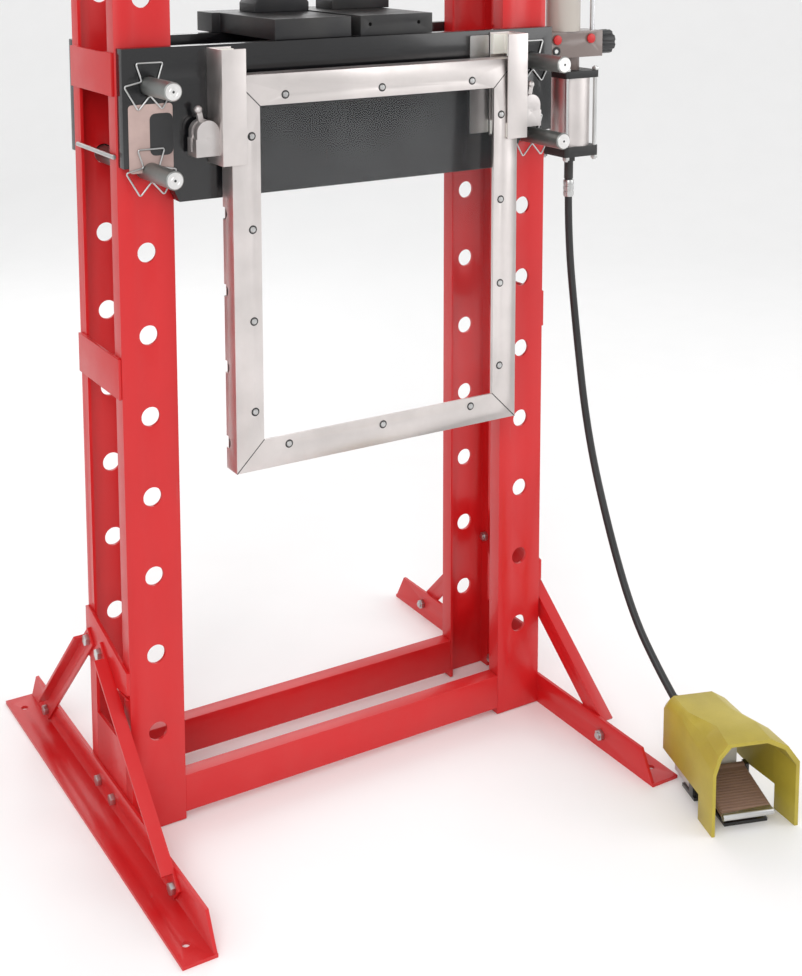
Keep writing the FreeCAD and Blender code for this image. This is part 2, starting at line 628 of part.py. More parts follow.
# ---------------------------------------------------------------- guard frame, panel and screws
GUARD_FRONT = "0 - guard_back - guard_deep"
BORDER = "(guard_rail + guard_lip)"
ring = cut(box("guard_left", GUARD_FRONT, "guard_low", "guard_wide", "guard_deep", "guard_high"),
           box("guard_left + guard_rail", f"{GUARD_FRONT} - 1", "guard_low + guard_rail",
               "guard_wide - 2*guard_rail", "guard_deep + 2", "guard_high - 2*guard_rail"))
lip = cut(box("guard_left + guard_rail - 1", GUARD_FRONT, "guard_low + guard_rail - 1",
              "guard_wide - 2*guard_rail + 2", "lip_thick", "guard_high - 2*guard_rail + 2"),
          box(f"guard_left + {BORDER}", f"{GUARD_FRONT} - 1", f"guard_low + {BORDER}",
              f"guard_wide - 2*{BORDER}", "lip_thick + 2", f"guard_high - 2*{BORDER}"))
hollow_deep = "guard_deep - 2*guard_wall"
hollow_wide = "guard_rail - 2*guard_wall"
hollows = []
for x in ("guard_left + guard_wall", "guard_left + guard_wide - guard_rail + guard_wall"):
    hollows.append(box(x, f"{GUARD_FRONT} + guard_wall", "guard_low + guard_wall", hollow_wide,
                       hollow_deep, "guard_high - 2*guard_wall"))
for z in ("guard_low + guard_wall", "guard_low + guard_high - guard_rail + guard_wall"):
    hollows.append(box("guard_left + guard_rail", f"{GUARD_FRONT} + guard_wall", z,
                       "guard_wide - 2*guard_rail", hollow_deep, hollow_wide))
notches = [rod(x, "0 - plunger_y + 4", f"latch_z - {k}*notch_pitch", "notch_rad",
               "guard_wall + 2", "x")
           for k in range(int(SIZES["notch_count"]))
           for x in ("guard_left - 1", "guard_left + guard_wide - guard_wall - 1")]
SCREW_INSET = "(guard_rail + 8)"
SCREW_PLACES = [("guard_left + " + SCREW_INSET, f"guard_low + {rise}") for rise in
                ("104", "262", "420", "578")]
SCREW_PLACES += [("guard_left + guard_wide - " + SCREW_INSET, z) for x, z in SCREW_PLACES]
SCREW_PLACES += [(f"guard_left + {along}", z) for along in ("screw_first", "(guard_wide - 1)/2",
                                                      "guard_wide - 1 - screw_first")
                 for z in (f"guard_low + {SCREW_INSET}",
                           f"guard_low + guard_high - {SCREW_INSET}")]
screw_holes = [rod(x, f"{GUARD_FRONT} - 1", z, "screw_rad + 0.3", "lip_thick + 2", "y")
               for x, z in SCREW_PLACES]
node("guard_frame", cut(join(ring, lip), *hollows, *notches, *screw_holes))
PANEL_Y = f"{GUARD_FRONT} + lip_thick"
node("guard_panel", cut(
    box("guard_left + guard_rail + 1", PANEL_Y, "guard_low + guard_rail + 1",
        "guard_wide - 2*guard_rail - 2", "panel_thick", "guard_high - 2*guard_rail - 2"),
    *[rod(x, f"{PANEL_Y} - 1", z, "screw_rad + 0.3", "panel_thick + 2", "y")
      for x, z in SCREW_PLACES]))
screws = []
for x, z in SCREW_PLACES:
    screws.append(join(cone(x, f"{GUARD_FRONT} - 2.5", z, "screw_head - 1.5", "screw_head", "2.5",
                            "y"),
                       rod(x, f"{GUARD_FRONT} - 1", z, "screw_rad",
                           "lip_thick + panel_thick + 5", "y")))
node("guard_screws", group(*screws))

# ---------------------------------------------------------------- latches
LATCH_LEFT = f"{SLEEVE_X} - latch_wide"
PIVOT_X = f"{SLEEVE_X} - 20"
SLOT_MIDDLE = "0 - latch_front + latch_deep/2"
CAM_DROP = "cam_throw*0.5"
CAM_LEFT = "cam_throw*0.866"
base_block = box(LATCH_LEFT, "0 - latch_front", "latch_z - latch_high", "latch_wide",
                 "latch_deep", "latch_high")
dome = join(rod(PIVOT_X, "0 - latch_front", "latch_z + 10", "20", "latch_deep", "y"),
            box(f"{PIVOT_X} - 20", "0 - latch_front", "latch_z - 2", "40", "latch_deep", "12"))
slot = box(f"{LATCH_LEFT} - 1", f"{SLOT_MIDDLE} - latch_slot/2", "latch_z - 22",
           "latch_wide - 5", "latch_slot", "90")
pivot_hole = rod(PIVOT_X, "0 - latch_front - 1", "latch_z", "pivot_rad + 0.05",
                 "latch_deep + 2", "y")
plunger_bore = rod(f"{PIVOT_X} + 4", "0 - plunger_y", "latch_z", "plunger_rad + plunger_gap",
                   "latch_wide", "x")
latch_block = cut(join(base_block, dome), slot, pivot_hole, plunger_bore)
node("latch_blocks", group(latch_block, mirror_copy(latch_block, GUARD_MIDDLE)))

LEVER_Y = f"{SLOT_MIDDLE} - lever_thick/2"
LEVER_TILT = 12


def latch_lever():
    """An off-centre round cam on a cross pin, with an arm and a ball, leaning outwards."""
    cam = rod(f"{PIVOT_X} - {CAM_LEFT}", LEVER_Y, f"latch_z - {CAM_DROP}", "cam_rad",
              "lever_thick", "y")
    pin = rod(PIVOT_X, "0 - latch_front", "latch_z", "pivot_rad", "latch_deep", "y")
    tilt = Rotation(Vector(0, 1, 0), -LEVER_TILT)
    foot_of_arm = Vector(value("press_x + " + PIVOT_X), value("press_y + " + LEVER_Y),
                         value("latch_z"))
    arm = doc.addObject("Part::Box", "Arm")
    arm.Length = 9
    arm.setExpression("Width", cells("lever_thick"))
    arm.setExpression("Height", cells("lever_long"))
    arm.Placement = Placement(foot_of_arm + tilt.multVec(Vector(-4.5, 0, 0)), tilt)
    ball = doc.addObject("Part::Sphere", "Ball")
    ball.Radius = 7
    middle = Vector(0, value("lever_thick") / 2, value("lever_long"))
    ball.Placement = Placement(foot_of_arm + tilt.multVec(middle), Rotation())
    return join(cam, pin, arm, ball)


left_lever = latch_lever()
node("latch_lever_left", left_lever)
node("latch_lever_right", mirror_copy(left_lever, GUARD_MIDDLE))
PLUNGER_START = f"{PIVOT_X} - {CAM_LEFT} + cam_rad + 0.3"
left_plunger = rod(PLUNGER_START, "0 - plunger_y", "latch_z", "plunger_rad",
                   f"guard_left - 0.3 - ({PLUNGER_START})", "x")
node("latch_plunger_left", left_plunger)
node("latch_plunger_right", mirror_copy(left_plunger, GUARD_MIDDLE))

# ---------------------------------------------------------------- pump
BLOCK_LEFT = "upright_pitch + post_wide + plate_thick"
BLOCK_RIGHT = f"{BLOCK_LEFT} + block_long"
PUMP_X = f"({BLOCK_LEFT} + pump_out)"
TANK_X = f"{BLOCK_LEFT} + tank_out"
BLOCK_TOP = "block_low + block_high"
MOTOR_TOP = "block_low - neck_high"
BLOCK_FRONT = "pump_y - block_deep/2"
tank = cut(rod(TANK_X, "pump_y", BLOCK_TOP, "tank_rad", "tank_high"),
           rod(TANK_X, "pump_y", f"{BLOCK_TOP} - 1", "tank_rad - tank_wall",
               "tank_high - 3"))
filler_cap = rod(TANK_X, "pump_y", f"{BLOCK_TOP} + tank_high - 1", "14", "13")
node("pump_reservoir", join(tank, filler_cap))
block = join(box(BLOCK_LEFT, BLOCK_FRONT, "block_low", "block_long",
                 "block_deep", "block_high"),
             rod(PUMP_X, "pump_y", MOTOR_TOP, "neck_rad", "neck_high + 1"))
PLUG_PLACES = ((f"{BLOCK_LEFT} + 30", f"{BLOCK_TOP} - 15"), (f"{BLOCK_LEFT} + 113", f"{BLOCK_TOP} - 15"))
block = cut(block,
            rod(PUMP_X, "pump_y", f"{MOTOR_TOP} - 1", "motor_rod + ram_gap", "64"),
            rod(f"{BLOCK_RIGHT} - 20", "pump_y", "block_low + block_high/2", "knob_stem + 0.06",
                "21", "x"),
            *[rod(x, f"{BLOCK_FRONT} - 1", z, "7", "13", "y") for x, z in PLUG_PLACES])
node("pump_valve_block", block)
node("pump_plugs", group(*[
    join(rod(x, f"{BLOCK_FRONT} - 4", z, "9.5", "4", "y"),
         rod(x, f"{BLOCK_FRONT} - 1", z, "6.9", "12", "y")) for x, z in PLUG_PLACES]))
HALF = "motor_plate/2"
TIE_PLACES = [(f"{PUMP_X} {a} ({HALF} - tie_inset)", f"pump_y {b} ({HALF} - tie_inset)")
              for a in "+-" for b in "+-"]
TUBE_LOW = "motor_low + motor_low_thick"
TUBE_TOP = f"{MOTOR_TOP} - motor_top_thick"


def motor_plate(z, thick):
    """A square end plate with rounded corners, drilled for the tie rods."""
    flat = "motor_plate - 2*motor_corner"
    along_x = box(f"{PUMP_X} - {HALF}", f"pump_y - {HALF} + motor_corner", z, "motor_plate", flat,
                  thick)
    along_y = box(f"{PUMP_X} - {HALF} + motor_corner", f"pump_y - {HALF}", z, flat, "motor_plate",
                  thick)
    rounds = [rod(f"{PUMP_X} {a} ({HALF} - motor_corner)", f"pump_y {b} ({HALF} - motor_corner)",
                  z, "motor_corner", thick) for a in "+-" for b in "+-"]
    plate = join(along_x, along_y, *rounds)
    return cut(plate, *[rod(x, y, f"{z} - 1", "tie_rad + 0.2", f"{thick} + 2")
                        for x, y in TIE_PLACES])


top_plate = cut(motor_plate(TUBE_TOP, "motor_top_thick"),
                rod(PUMP_X, "pump_y", f"{TUBE_TOP} - 1", "motor_rod + ram_gap",
                    "motor_top_thick + 2"))
low_plate = cut(motor_plate("motor_low", "motor_low_thick"),
                rod(PUMP_X, "pump_y", "motor_low - 1", "3", "motor_low_thick + 2"))
node("air_cylinder_plates", group(top_plate, low_plate))
TUBE_HIGH = f"({TUBE_TOP}) - ({TUBE_LOW})"
node("air_cylinder_tube", cut(
    rod(PUMP_X, "pump_y", TUBE_LOW, "motor_rad", TUBE_HIGH),
    rod(PUMP_X, "pump_y", f"{TUBE_LOW} - 1", "motor_rad - motor_wall", f"{TUBE_HIGH} + 2")))
ties = []
for x, y in TIE_PLACES:
    ties.append(join(rod(x, y, "motor_low - 9", "tie_rad", f"{MOTOR_TOP} - motor_low + 17"),
                     hexagon(x, y, "motor_low - 6", "tie_rad + 3.2", "6"),
                     hexagon(x, y, MOTOR_TOP, "tie_rad + 3.2", "6")))
node("air_cylinder_tie_rods", group(*ties))
node("air_piston", join(
    rod(PUMP_X, "pump_y", f"{TUBE_LOW} + 4", "motor_rad - motor_wall - ram_gap",
        "motor_piston"),
    rod(PUMP_X, "pump_y", f"{TUBE_LOW} + 4", "motor_rod",
        f"({MOTOR_TOP}) - ({TUBE_LOW}) + 4")))

KNOB_LEFT = f"{BLOCK_RIGHT} + 5"
knob_z = "block_low + block_high/2"
knob = join(rod(KNOB_LEFT, "pump_y", knob_z, "knob_rad", "knob_long", "x"),
            rod(f"{BLOCK_RIGHT} - 18", "pump_y", knob_z, "knob_stem", "25", "x"))
scallops = []
for angle in range(0, 360, 45):
    across = math.cos(math.radians(angle))
    above = math.sin(math.radians(angle))
    scallops.append(rod(f"{KNOB_LEFT} - 1", f"pump_y + (knob_rad + scallop_out)*{across:.6f}",
                        f"{knob_z} + (knob_rad + scallop_out)*{above:.6f}", "scallop_rad",
                        "knob_long + 2", "x"))
node("release_knob", cut(knob, *scallops))

CAP_PORT = Vector(value("press_x + " + MIDDLE) + 30, value("press_y + " + MID_Y),
                  value("cylinder_top"))
line_start = Vector(value(f"press_x + {BLOCK_LEFT} + line_out"), value("press_y + line_y"),
                    value(BLOCK_TOP))
line_top = value("line_top")
pressure_path = rounded_wire([line_start, Vector(line_start.x, line_start.y, line_top),
                              Vector(CAP_PORT.x, CAP_PORT.y, line_top), CAP_PORT],
                             value("line_bend"))
shaped("pressure_line", tube(pressure_path, value("line_rad")))

# ---------------------------------------------------------------- pedal
PEDAL = Placement(Vector(value("press_x + pedal_x"), value("press_y + pedal_y"), 0),
                  Rotation(Vector(0, 0, 1), value("pedal_turn")))


def on_pedal(thing):
    """Set a piece made in the pedal's own frame on the floor beside the press."""
    thing.Placement = PEDAL
    return thing


def section(v, right, top, left_shoulder, right_shoulder, wall):
    """The hood's outline across at a distance v from its mouth, moved inwards by a wall."""
    (left_in, left_down) = left_shoulder
    (right_in, right_down) = right_shoulder
    left = wall
    right = right - wall
    top = top - wall
    corners = [(left, 0), (left, top - left_down), (left + left_in * 0.35, top - left_down * 0.4),
               (left + left_in, top), (right - right_in, top),
               (right - right_in * 0.4, top - right_down * 0.35), (right, top - right_down),
               (right, 0)]
    return Part.makePolygon([Vector(u, v, z) for u, z in corners + corners[:1]])


def hood_form(wall, back):
    """The hood's outside, or its inside when a wall is given, ruled from section to section."""
    wide = value("hood_wide")
    high = value("hood_high")
    ridge = value("hood_ridge")
    waist = value("hood_waist")
    body = value("body_wide")
    back_high = value("hood_back_high")
    start = 0 if wall == 0 else -5
    outline = [
        section(start, wide, high, (27, 50), (57, 48), wall),
        section(ridge, wide - 12, high, (34, 38), (44, 46), wall),
        section(waist, body, back_high + 3, (12, 15), (46, 46), wall),
        section(back - 15, body - 4, back_high, (12, 15), (44, 46), wall),
        section(back, body - 6, back_high - value("back_drop"), (12, 14), (40, 40), wall)]
    return Part.makeLoft(outline, True, True)


# the hose's route from the air cylinder down to the pedal, corner by corner
HOSE = [(967, 36, 1068), (967, 36, 958), (968, 8.5, 775), (969.2, -31.4, 563.4),
        (970.4, -99.5, 386), (971.7, -174.4, 239), (973, -249.4, 158.6), (974, -292.3, 122.6)]
hose_points = [Vector(value("press_x") + x, value("press_y") + y, z) for x, y, z in HOSE]
last_run = (hose_points[-1] - hose_points[-2]).normalize()
elbow = hose_points[-1] + last_run * 30
elbow_local = PEDAL.inverse().multVec(elbow)
ELBOW_U = f"{elbow_local.x:.4f}"
ELBOW_Z = f"{elbow_local.z:.4f}"

outside_form = doc.addObject("Part::Feature", "HoodOutside")
outside_form.Shape = hood_form(0, value("hood_long"))
inside_form = doc.addObject("Part::Feature", "HoodInside")
inside_form.Shape = hood_form(value("hood_wall"), value("hood_long - hood_wall"))
hood = cut(outside_form, inside_form,
           box("0 - 1", "hood_leg", "0 - 1", "hood_wide + 2", "hood_long", "hood_skirt + 1",
               LOCAL),
           rod(ELBOW_U, "hood_long - 20", ELBOW_Z, "fitting_rad + 0.3", "30", "y", LOCAL),
           rod("inlet_u", "hood_long - 20", "inlet_z", "12", "30", "y", LOCAL))
node("pedal_hood", on_pedal(hood))

LUG_LEFT = "treadle_left - lug_thick - 0.4"
LUG_RIGHT = "treadle_left + treadle_wide + 0.4"
floor_plate = join(
    box("base_left", "base_front", "0", "base_wide", "base_back - base_front", "base_wall", LOCAL),
    box("treadle_left - lug_thick - 0.4", "hinge_v - 14", "0", "treadle_wide + 2*lug_thick + 0.8",
        "50", "base_wall", LOCAL))
lugs = [box(u, "hinge_v - 8", "0", "lug_thick", "16", "hinge_z + 7", LOCAL)
        for u in (LUG_LEFT, LUG_RIGHT)]
hinge_pin = rod(LUG_LEFT, "hinge_v", "hinge_z", "hinge_rad",
                "treadle_wide + 2*lug_thick + 0.8", "x", LOCAL)
node("pedal_base", on_pedal(join(floor_plate, *lugs, hinge_pin)))
valve = cut(box("valve_left", "valve_front", "base_wall", "valve_wide",
                "hood_long - hood_wall - valve_front", "valve_top - base_wall", LOCAL),
            rod("inlet_u", "hood_long - hood_wall - 12", "inlet_z", "inlet_rad", "20", "y",
                LOCAL))
node("pedal_valve", on_pedal(valve))

# the treadle is made level with its hinge at the origin and then tipped down at the front
tread = box("0", "0 - treadle_long", "0 - treadle_thick/2", "treadle_wide", "treadle_long",
            "treadle_thick", LOCAL)
ribs = [box("3", f"10 - treadle_long + {k}*6.5", "treadle_thick/2 - 1", "treadle_wide - 6", "3.5",
            "2.2", LOCAL) for k in range(14)]
lip = rod("0", "0 - treadle_long", "0 - 1", "6", "treadle_wide", "x", LOCAL)
barrel = rod("0", "0", "0", "barrel_rad", "treadle_wide", "x", LOCAL)
treadle = cut(join(tread, lip, barrel, *ribs),
              rod("0 - 1", "0", "0", "hinge_rad + 0.05", "treadle_wide + 2", "x", LOCAL))
treadle.Placement = PEDAL.multiply(Placement(
    Vector(value("treadle_left"), value("hinge_v"), value("hinge_z")),
    Rotation(Vector(1, 0, 0), value("treadle_tilt"))))
node("treadle", treadle)
PEDAL_WIRE = 1.2
spring_base = value("base_wall") + PEDAL_WIRE
SPRING_ARM = 57
tilt = math.radians(value("treadle_tilt"))
tread_under = (value("hinge_z") - SPRING_ARM * math.sin(tilt)
               - value("treadle_thick") / 2 * math.cos(tilt))
spring_reach = tread_under - 9 * math.sin(tilt) - PEDAL_WIRE - spring_base
spring_at = PEDAL.multVec(Vector(value("treadle_left + treadle_wide/2"),
                                 value("hinge_v") - SPRING_ARM, spring_base))
shaped("treadle_spring", coil(9, PEDAL_WIRE, spring_reach / 5, spring_reach, spring_at))

# ---------------------------------------------------------------- hose


def bend_radius(points, index):
    """The arc at a corner takes 0.45 of the shorter run beside it."""
    before = points[index] - points[index - 1]
    after = points[index + 1] - points[index]
    turn = before.getAngle(after)
    return 0.45 * min(before.Length, after.Length) / math.tan(turn / 2)


def hose_path(points):
    edges = []
    last = points[0]
    for index in range(1, len(points) - 1):
        radius = bend_radius(points, index)
        arms = rounded_wire(points[index - 1:index + 2], radius).Edges
        first, arc = arms[0], arms[1]
        edges.append(Part.LineSegment(last, first.Vertexes[-1].Point).toShape())
        edges.append(arc)
        last = arc.Vertexes[-1].Point
        print(f"hose corner {index}: radius {radius:.0f} mm")
    edges.append(Part.LineSegment(last, points[-1]).toShape())
    return Part.Wire(edges)


hose_wire = hose_path(hose_points)
hose_shape = tube(hose_wire, value("hose_rad"))
expected = math.pi * value("hose_rad") ** 2 * hose_wire.Length
print(f"hose length {hose_wire.Length:.1f} mm, volume over section x length "
      f"{hose_shape.Volume / expected:.4f}")
shaped("hose", hose_shape)
elbow_end = PEDAL.multVec(Vector(elbow_local.x, value("hood_long - hood_wall"), elbow_local.z))
top_fitting = join(rod(PUMP_X, "pump_y", "motor_low - fitting_high", "fitting_rad",
                       "fitting_high - 14"),
                   hexagon(PUMP_X, "pump_y", "motor_low - 14", "fitting_rad + 4", "14"))
pedal_fitting = doc.addObject("Part::Feature", "Elbow")
pedal_fitting.Shape = tube(rounded_wire([hose_points[-1], elbow, elbow_end], 12),
                           value("fitting_rad"))
node("hose_fittings", group(top_fitting, pedal_fitting))

# ---------------------------------------------------------------- tooling
ARBOR_LOW = "bolster_top + rest_gap"


def arbor_plate(mirrored):
    """A thick plate with an ear at its rear outer corner."""
    far = "ear_wide + arbor_wide"
    corners = [("ear_wide", "0"), (far, "0"), (far, "arbor_long"), ("0", "arbor_long"),
               ("0", "arbor_long - ear_long"), ("ear_wide", "arbor_long - ear_long")]
    left = "arbor_left - ear_wide"
    if mirrored:
        corners = [(f"{far} - ({u})", v) for u, v in reversed(corners)]
        left = "arbor_left + arbor_wide + arbor_gap"
    return prism(corners, "arbor_thick", "z", left, "0 - arbor_front", ARBOR_LOW)


node("arbor_plate_left", arbor_plate(False))
right_plate = cut(arbor_plate(True), *[
    rod(f"arbor_left + arbor_wide + arbor_gap + {along}", "0 - arbor_front - 1",
        f"{ARBOR_LOW} + 20", "3.5", "22", "y") for along in ("20", "122")])
node("arbor_plate_right", right_plate)


def vee_block(name, x, wide):
    """A standing block with a V across its top and a stepped foot."""
    middle = f"({wide})/2"
    corners = [("0", "0"), (wide, "0"), (wide, "16"), (f"{wide} - 7", "26"),
               (f"{wide} - 7", "vee_high"), (f"{middle} + 28", "vee_high"),
               (middle, "vee_high - 30"), (f"{middle} - 28", "vee_high"), ("7", "vee_high"),
               ("7", "26"), ("0", "16")]
    return node(name, prism(corners, "vee_deep", "y", x, "vee_y + vee_deep",
                            f"{ARBOR_LOW} + arbor_thick"))


vee_block("v_block_left", "arbor_left + 48", "vee_wide")
vee_block("v_block_right", "arbor_left + 210", "vee_wide + 13")

# ---------------------------------------------------------------- checking and writing
doc.removeObject("Probe")
doc.recompute()
for thing in doc.Objects:
    bad = [state for state in thing.State if state in ("Invalid", "Error")]
    if bad:
        raise RuntimeError(f"{thing.Name} ({thing.Label}) is {bad}")
for thing in NODES:
    shape = thing.Shape
    if shape.isNull() or not shape.isValid() or not shape.Solids:
        raise RuntimeError(f"{thing.Label} has no valid solid")
    shape.exportStep(f"parts/{thing.Label}.step")
bounds = FreeCAD.BoundBox()
for thing in NODES:
    if thing.Label != "hose":
        bounds.add(thing.Shape.BoundBox)
print(f"{len(NODES)} sub-parts, {sum(len(thing.Shape.Solids) for thing in NODES)} solids")
print(f"bounds {bounds}")
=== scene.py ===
# %% [markdown]
# # A hydraulic shop press
# The press is a welded and bolted steel frame, painted red, with a black bolster, an aluminium
# window guard, an air-hydraulic pump and a foot pedal on a hose.  The frame file gives every piece
# in metres, at rest.  Here each piece gets its finish, sharp sheet-metal edges get a small round,
# and what is too fine for the design model, such as welds and dial marks, is grown with nodes.

# %% Start from the frame
import json
import math

import bmesh
import bpy
from mathutils import Matrix, Vector


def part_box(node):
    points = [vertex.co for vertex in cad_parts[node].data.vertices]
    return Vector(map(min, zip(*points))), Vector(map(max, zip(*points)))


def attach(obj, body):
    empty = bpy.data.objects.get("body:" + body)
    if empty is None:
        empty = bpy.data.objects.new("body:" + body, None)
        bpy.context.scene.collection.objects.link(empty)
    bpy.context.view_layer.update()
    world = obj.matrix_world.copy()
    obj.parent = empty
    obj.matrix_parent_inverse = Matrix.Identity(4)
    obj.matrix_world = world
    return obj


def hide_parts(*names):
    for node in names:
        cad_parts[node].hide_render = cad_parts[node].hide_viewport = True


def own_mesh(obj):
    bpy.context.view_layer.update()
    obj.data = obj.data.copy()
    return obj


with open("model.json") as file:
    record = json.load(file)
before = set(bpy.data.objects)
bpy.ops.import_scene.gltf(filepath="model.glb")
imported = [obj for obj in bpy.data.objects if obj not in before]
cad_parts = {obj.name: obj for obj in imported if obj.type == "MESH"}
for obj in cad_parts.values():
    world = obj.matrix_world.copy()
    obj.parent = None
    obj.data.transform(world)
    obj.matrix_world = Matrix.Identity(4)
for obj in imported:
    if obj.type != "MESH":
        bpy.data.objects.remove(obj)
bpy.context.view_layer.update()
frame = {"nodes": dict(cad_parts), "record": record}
nodes = frame["nodes"]
owner = {node: body for body, members in frame["record"]["behaviour"]["bodies"].items()
         for node in members}

# %% [markdown]
# Shader and geometry trees are both graphs of nodes.  One small class wraps a socket so that sums
# can be written as sums, and one method adds any other node from its type, its settings and the
# values or links of its sockets.

# %% A node tree that reads like arithmetic
class Wire:
    """An output socket that takes part in sums."""

    def __init__(self, graph, socket):
        self.graph = graph
        self.socket = socket

    def maths(self, operation, first, second):
        kind = "ShaderNodeMath"
        return self.graph.add(kind, {"operation": operation}, {0: first, 1: second})

    def __add__(self, other):
        return self.maths("ADD", self, other)

    def __radd__(self, other):
        return self.maths("ADD", other, self)

    def __sub__(self, other):
        return self.maths("SUBTRACT", self, other)

    def __rsub__(self, other):
        return self.maths("SUBTRACT", other, self)

    def __mul__(self, other):
        return self.maths("MULTIPLY", self, other)

    def __rmul__(self, other):
        return self.maths("MULTIPLY", other, self)

    def above(self, level):
        return self.maths("GREATER_THAN", self, level)


class Graph:
    """A node tree with one way to add a node."""

    def __init__(self, tree):
        self.tree = tree

    def add(self, kind, settings=None, inputs=None, output=0):
        node = self.tree.nodes.new(kind)
        for name, setting in (settings or {}).items():
            if name == "stops":
                ramp = node.color_ramp
                while len(ramp.elements) < len(setting):
                    ramp.elements.new(0.5)
                for element, (place, colour) in zip(ramp.elements, setting):
                    element.position = place
                    element.color = colour
            else:
                setattr(node, name, setting)
        for key, given in (inputs or {}).items():
            self.join(given, node.inputs[key])
        return Wire(self, node.outputs[output])

    def join(self, given, socket):
        if isinstance(given, Wire):
            self.tree.links.new(given.socket, socket)
        else:
            socket.default_value = given


# %% [markdown]
# Every finish starts from the same Principled surface.  Object coordinates are in metres, so a
# noise scale of 300 gives grains of about three millimetres anywhere on the press.  A face
# attribute called edge marks the small rounds, where paint wears through and metal shines.

# %% The base of every finish
MATERIALS = {}


class Finish(Graph):
    """A material with the few ready-made patterns that metal, paint and rubber need."""

    def __init__(self, name, **constants):
        self.material = bpy.data.materials.new(name)
        self.material.use_nodes = True
        super().__init__(self.material.node_tree)
        self.surface = self.tree.nodes["Principled BSDF"]
        for socket, constant in constants.items():
            self.surface.inputs[socket.replace("_", " ")].default_value = constant
        self.place = self.add("ShaderNodeTexCoord", output=3)
        MATERIALS[name] = self.material

    def stretched(self, x, y, z):
        """Object coordinates scaled unevenly, for brushing or drawing lines."""
        return self.add("ShaderNodeMapping", None, {"Vector": self.place, "Scale": (x, y, z)})

    def noise(self, scale, detail=3.0, rough=0.5, where=None):
        given = {"Vector": where or self.place, "Scale": scale, "Detail": detail,
                 "Roughness": rough}
        return self.add("ShaderNodeTexNoise", None, given)

    def between(self, value, low, high):
        """How far a value lies from low to high, kept from 0 to 1."""
        given = {0: value, 1: low, 2: high, 3: 0.0, 4: 1.0}
        return self.add("ShaderNodeMapRange", {"clamp": True}, given)

    def edge(self):
        return self.add("ShaderNodeAttribute", {"attribute_name": "edge"}, output=2)

    def height(self):
        """The height over the floor, in metres."""
        return self.add("ShaderNodeSeparateXYZ", None, {0: self.place}, output=2)

    def mix(self, factor, first, second):
        """Two colours mixed."""
        settings = {"data_type": "RGBA"}
        given = {0: factor, 6: first, 7: second}
        return self.add("ShaderNodeMix", settings, given, output=2)

    def bump(self, height, distance, strength=1.0, normal=None):
        given = {"Height": height, "Distance": distance, "Strength": strength}
        if normal is not None:
            given["Normal"] = normal
        return self.add("ShaderNodeBump", None, given)

    def feed(self, **links):
        for socket, given in links.items():
            self.join(given, self.surface.inputs[socket.replace("_", " ")])
        return self.material


def rgba(red, green, blue):
    return (red, green, blue, 1.0)


# %% [markdown]
# ## Painted steel
# Enamel is sprayed on: it has a faint orange peel, thin spots a little darker, dust near the floor
# and chips on the corners where bare steel shows.  The same recipe serves the red frame, the
# black bolster, the reservoir and the valve block with other numbers.

# %% Enamel
DUST_TOP = 0.42
SCUFFED = rgba(0.30, 0.17, 0.16)
DUSTED = rgba(0.30, 0.26, 0.23)
BARE = rgba(0.10, 0.095, 0.09)


def enamel(name, colour, shade, roughness, dust, chips, gloss=0.5):
    paint = Finish(name, Coat_Roughness=0.08, Specular_IOR_Level=0.5)
    cloud = paint.noise(3.0, 4.0)
    fine = paint.noise(240.0, 2.0)
    grime = paint.noise(14.0, 6.0, 0.65)
    low = paint.between(paint.height(), DUST_TOP, 0.0)
    dusty = low * paint.between(grime, 0.42, 0.72) * dust
    chipped = (paint.edge() * paint.between(paint.noise(95.0, 5.0, 0.7), 0.60, 0.66)) * chips
    scratch = paint.noise(60.0, 3.0, 0.6, paint.stretched(1.0, 1.0, 0.05))
    scuff = paint.between(scratch, 0.72, 0.76) * 0.35 * chips
    body = paint.mix(paint.between(cloud, 0.3, 0.7), colour, shade)
    body = paint.mix(scuff, body, SCUFFED)
    body = paint.mix(dusty, body, DUSTED)
    body = paint.mix(chipped, body, BARE)
    peel = paint.bump(fine, 0.00012, 0.35)
    peel = paint.bump(chipped, -0.0002, 0.6, peel)
    rough = roughness + paint.between(grime, 0.35, 0.8) * 0.10 + dusty * 0.35 + chipped * 0.2
    coat = gloss - dusty * gloss
    return paint.feed(Base_Color=body, Roughness=rough, Coat_Weight=coat, Normal=peel)


enamel("red_enamel", rgba(0.60, 0.008, 0.010), rgba(0.52, 0.006, 0.008), 0.34, 0.04, 0.40, 0.12)
enamel("black_enamel", rgba(0.004, 0.004, 0.005), rgba(0.007, 0.007, 0.008), 0.16, 0.1, 0.5, 0.3)
enamel("reservoir_paint", rgba(0.50, 0.45, 0.40), rgba(0.44, 0.40, 0.36), 0.30, 0.1, 0.3)
enamel("valve_paint", rgba(0.20, 0.155, 0.14), rgba(0.16, 0.125, 0.115), 0.36, 0.1, 0.7)
print("enamels:", len(MATERIALS))


# %% [markdown]
# ## Bare and plated metal
# Bare metal is told apart by the direction of its marks: a drawn bar has lines along it, a turned
# one has rings, a cast or blackened one has none.  Brushing is a noise squeezed along one axis.

# %% Metals
def metal(name, colour, shade, roughness, brush, depth, spread=0.12, metallic=1.0):
    steel = Finish(name, Metallic=metallic)
    lines = steel.noise(1.0, 3.0, 0.6, steel.stretched(*brush))
    cloud = steel.noise(9.0, 4.0)
    smear = steel.between(steel.noise(34.0, 5.0, 0.6), 0.45, 0.75)
    tone = steel.mix(steel.between(cloud, 0.35, 0.65), colour, shade)
    tone = steel.mix(smear * 0.18, tone, shade)
    rough = roughness + lines * spread + smear * 0.08 - steel.edge() * 0.08
    mark = steel.bump(lines, depth, 0.35)
    return steel.feed(Base_Color=tone, Roughness=rough, Normal=mark)


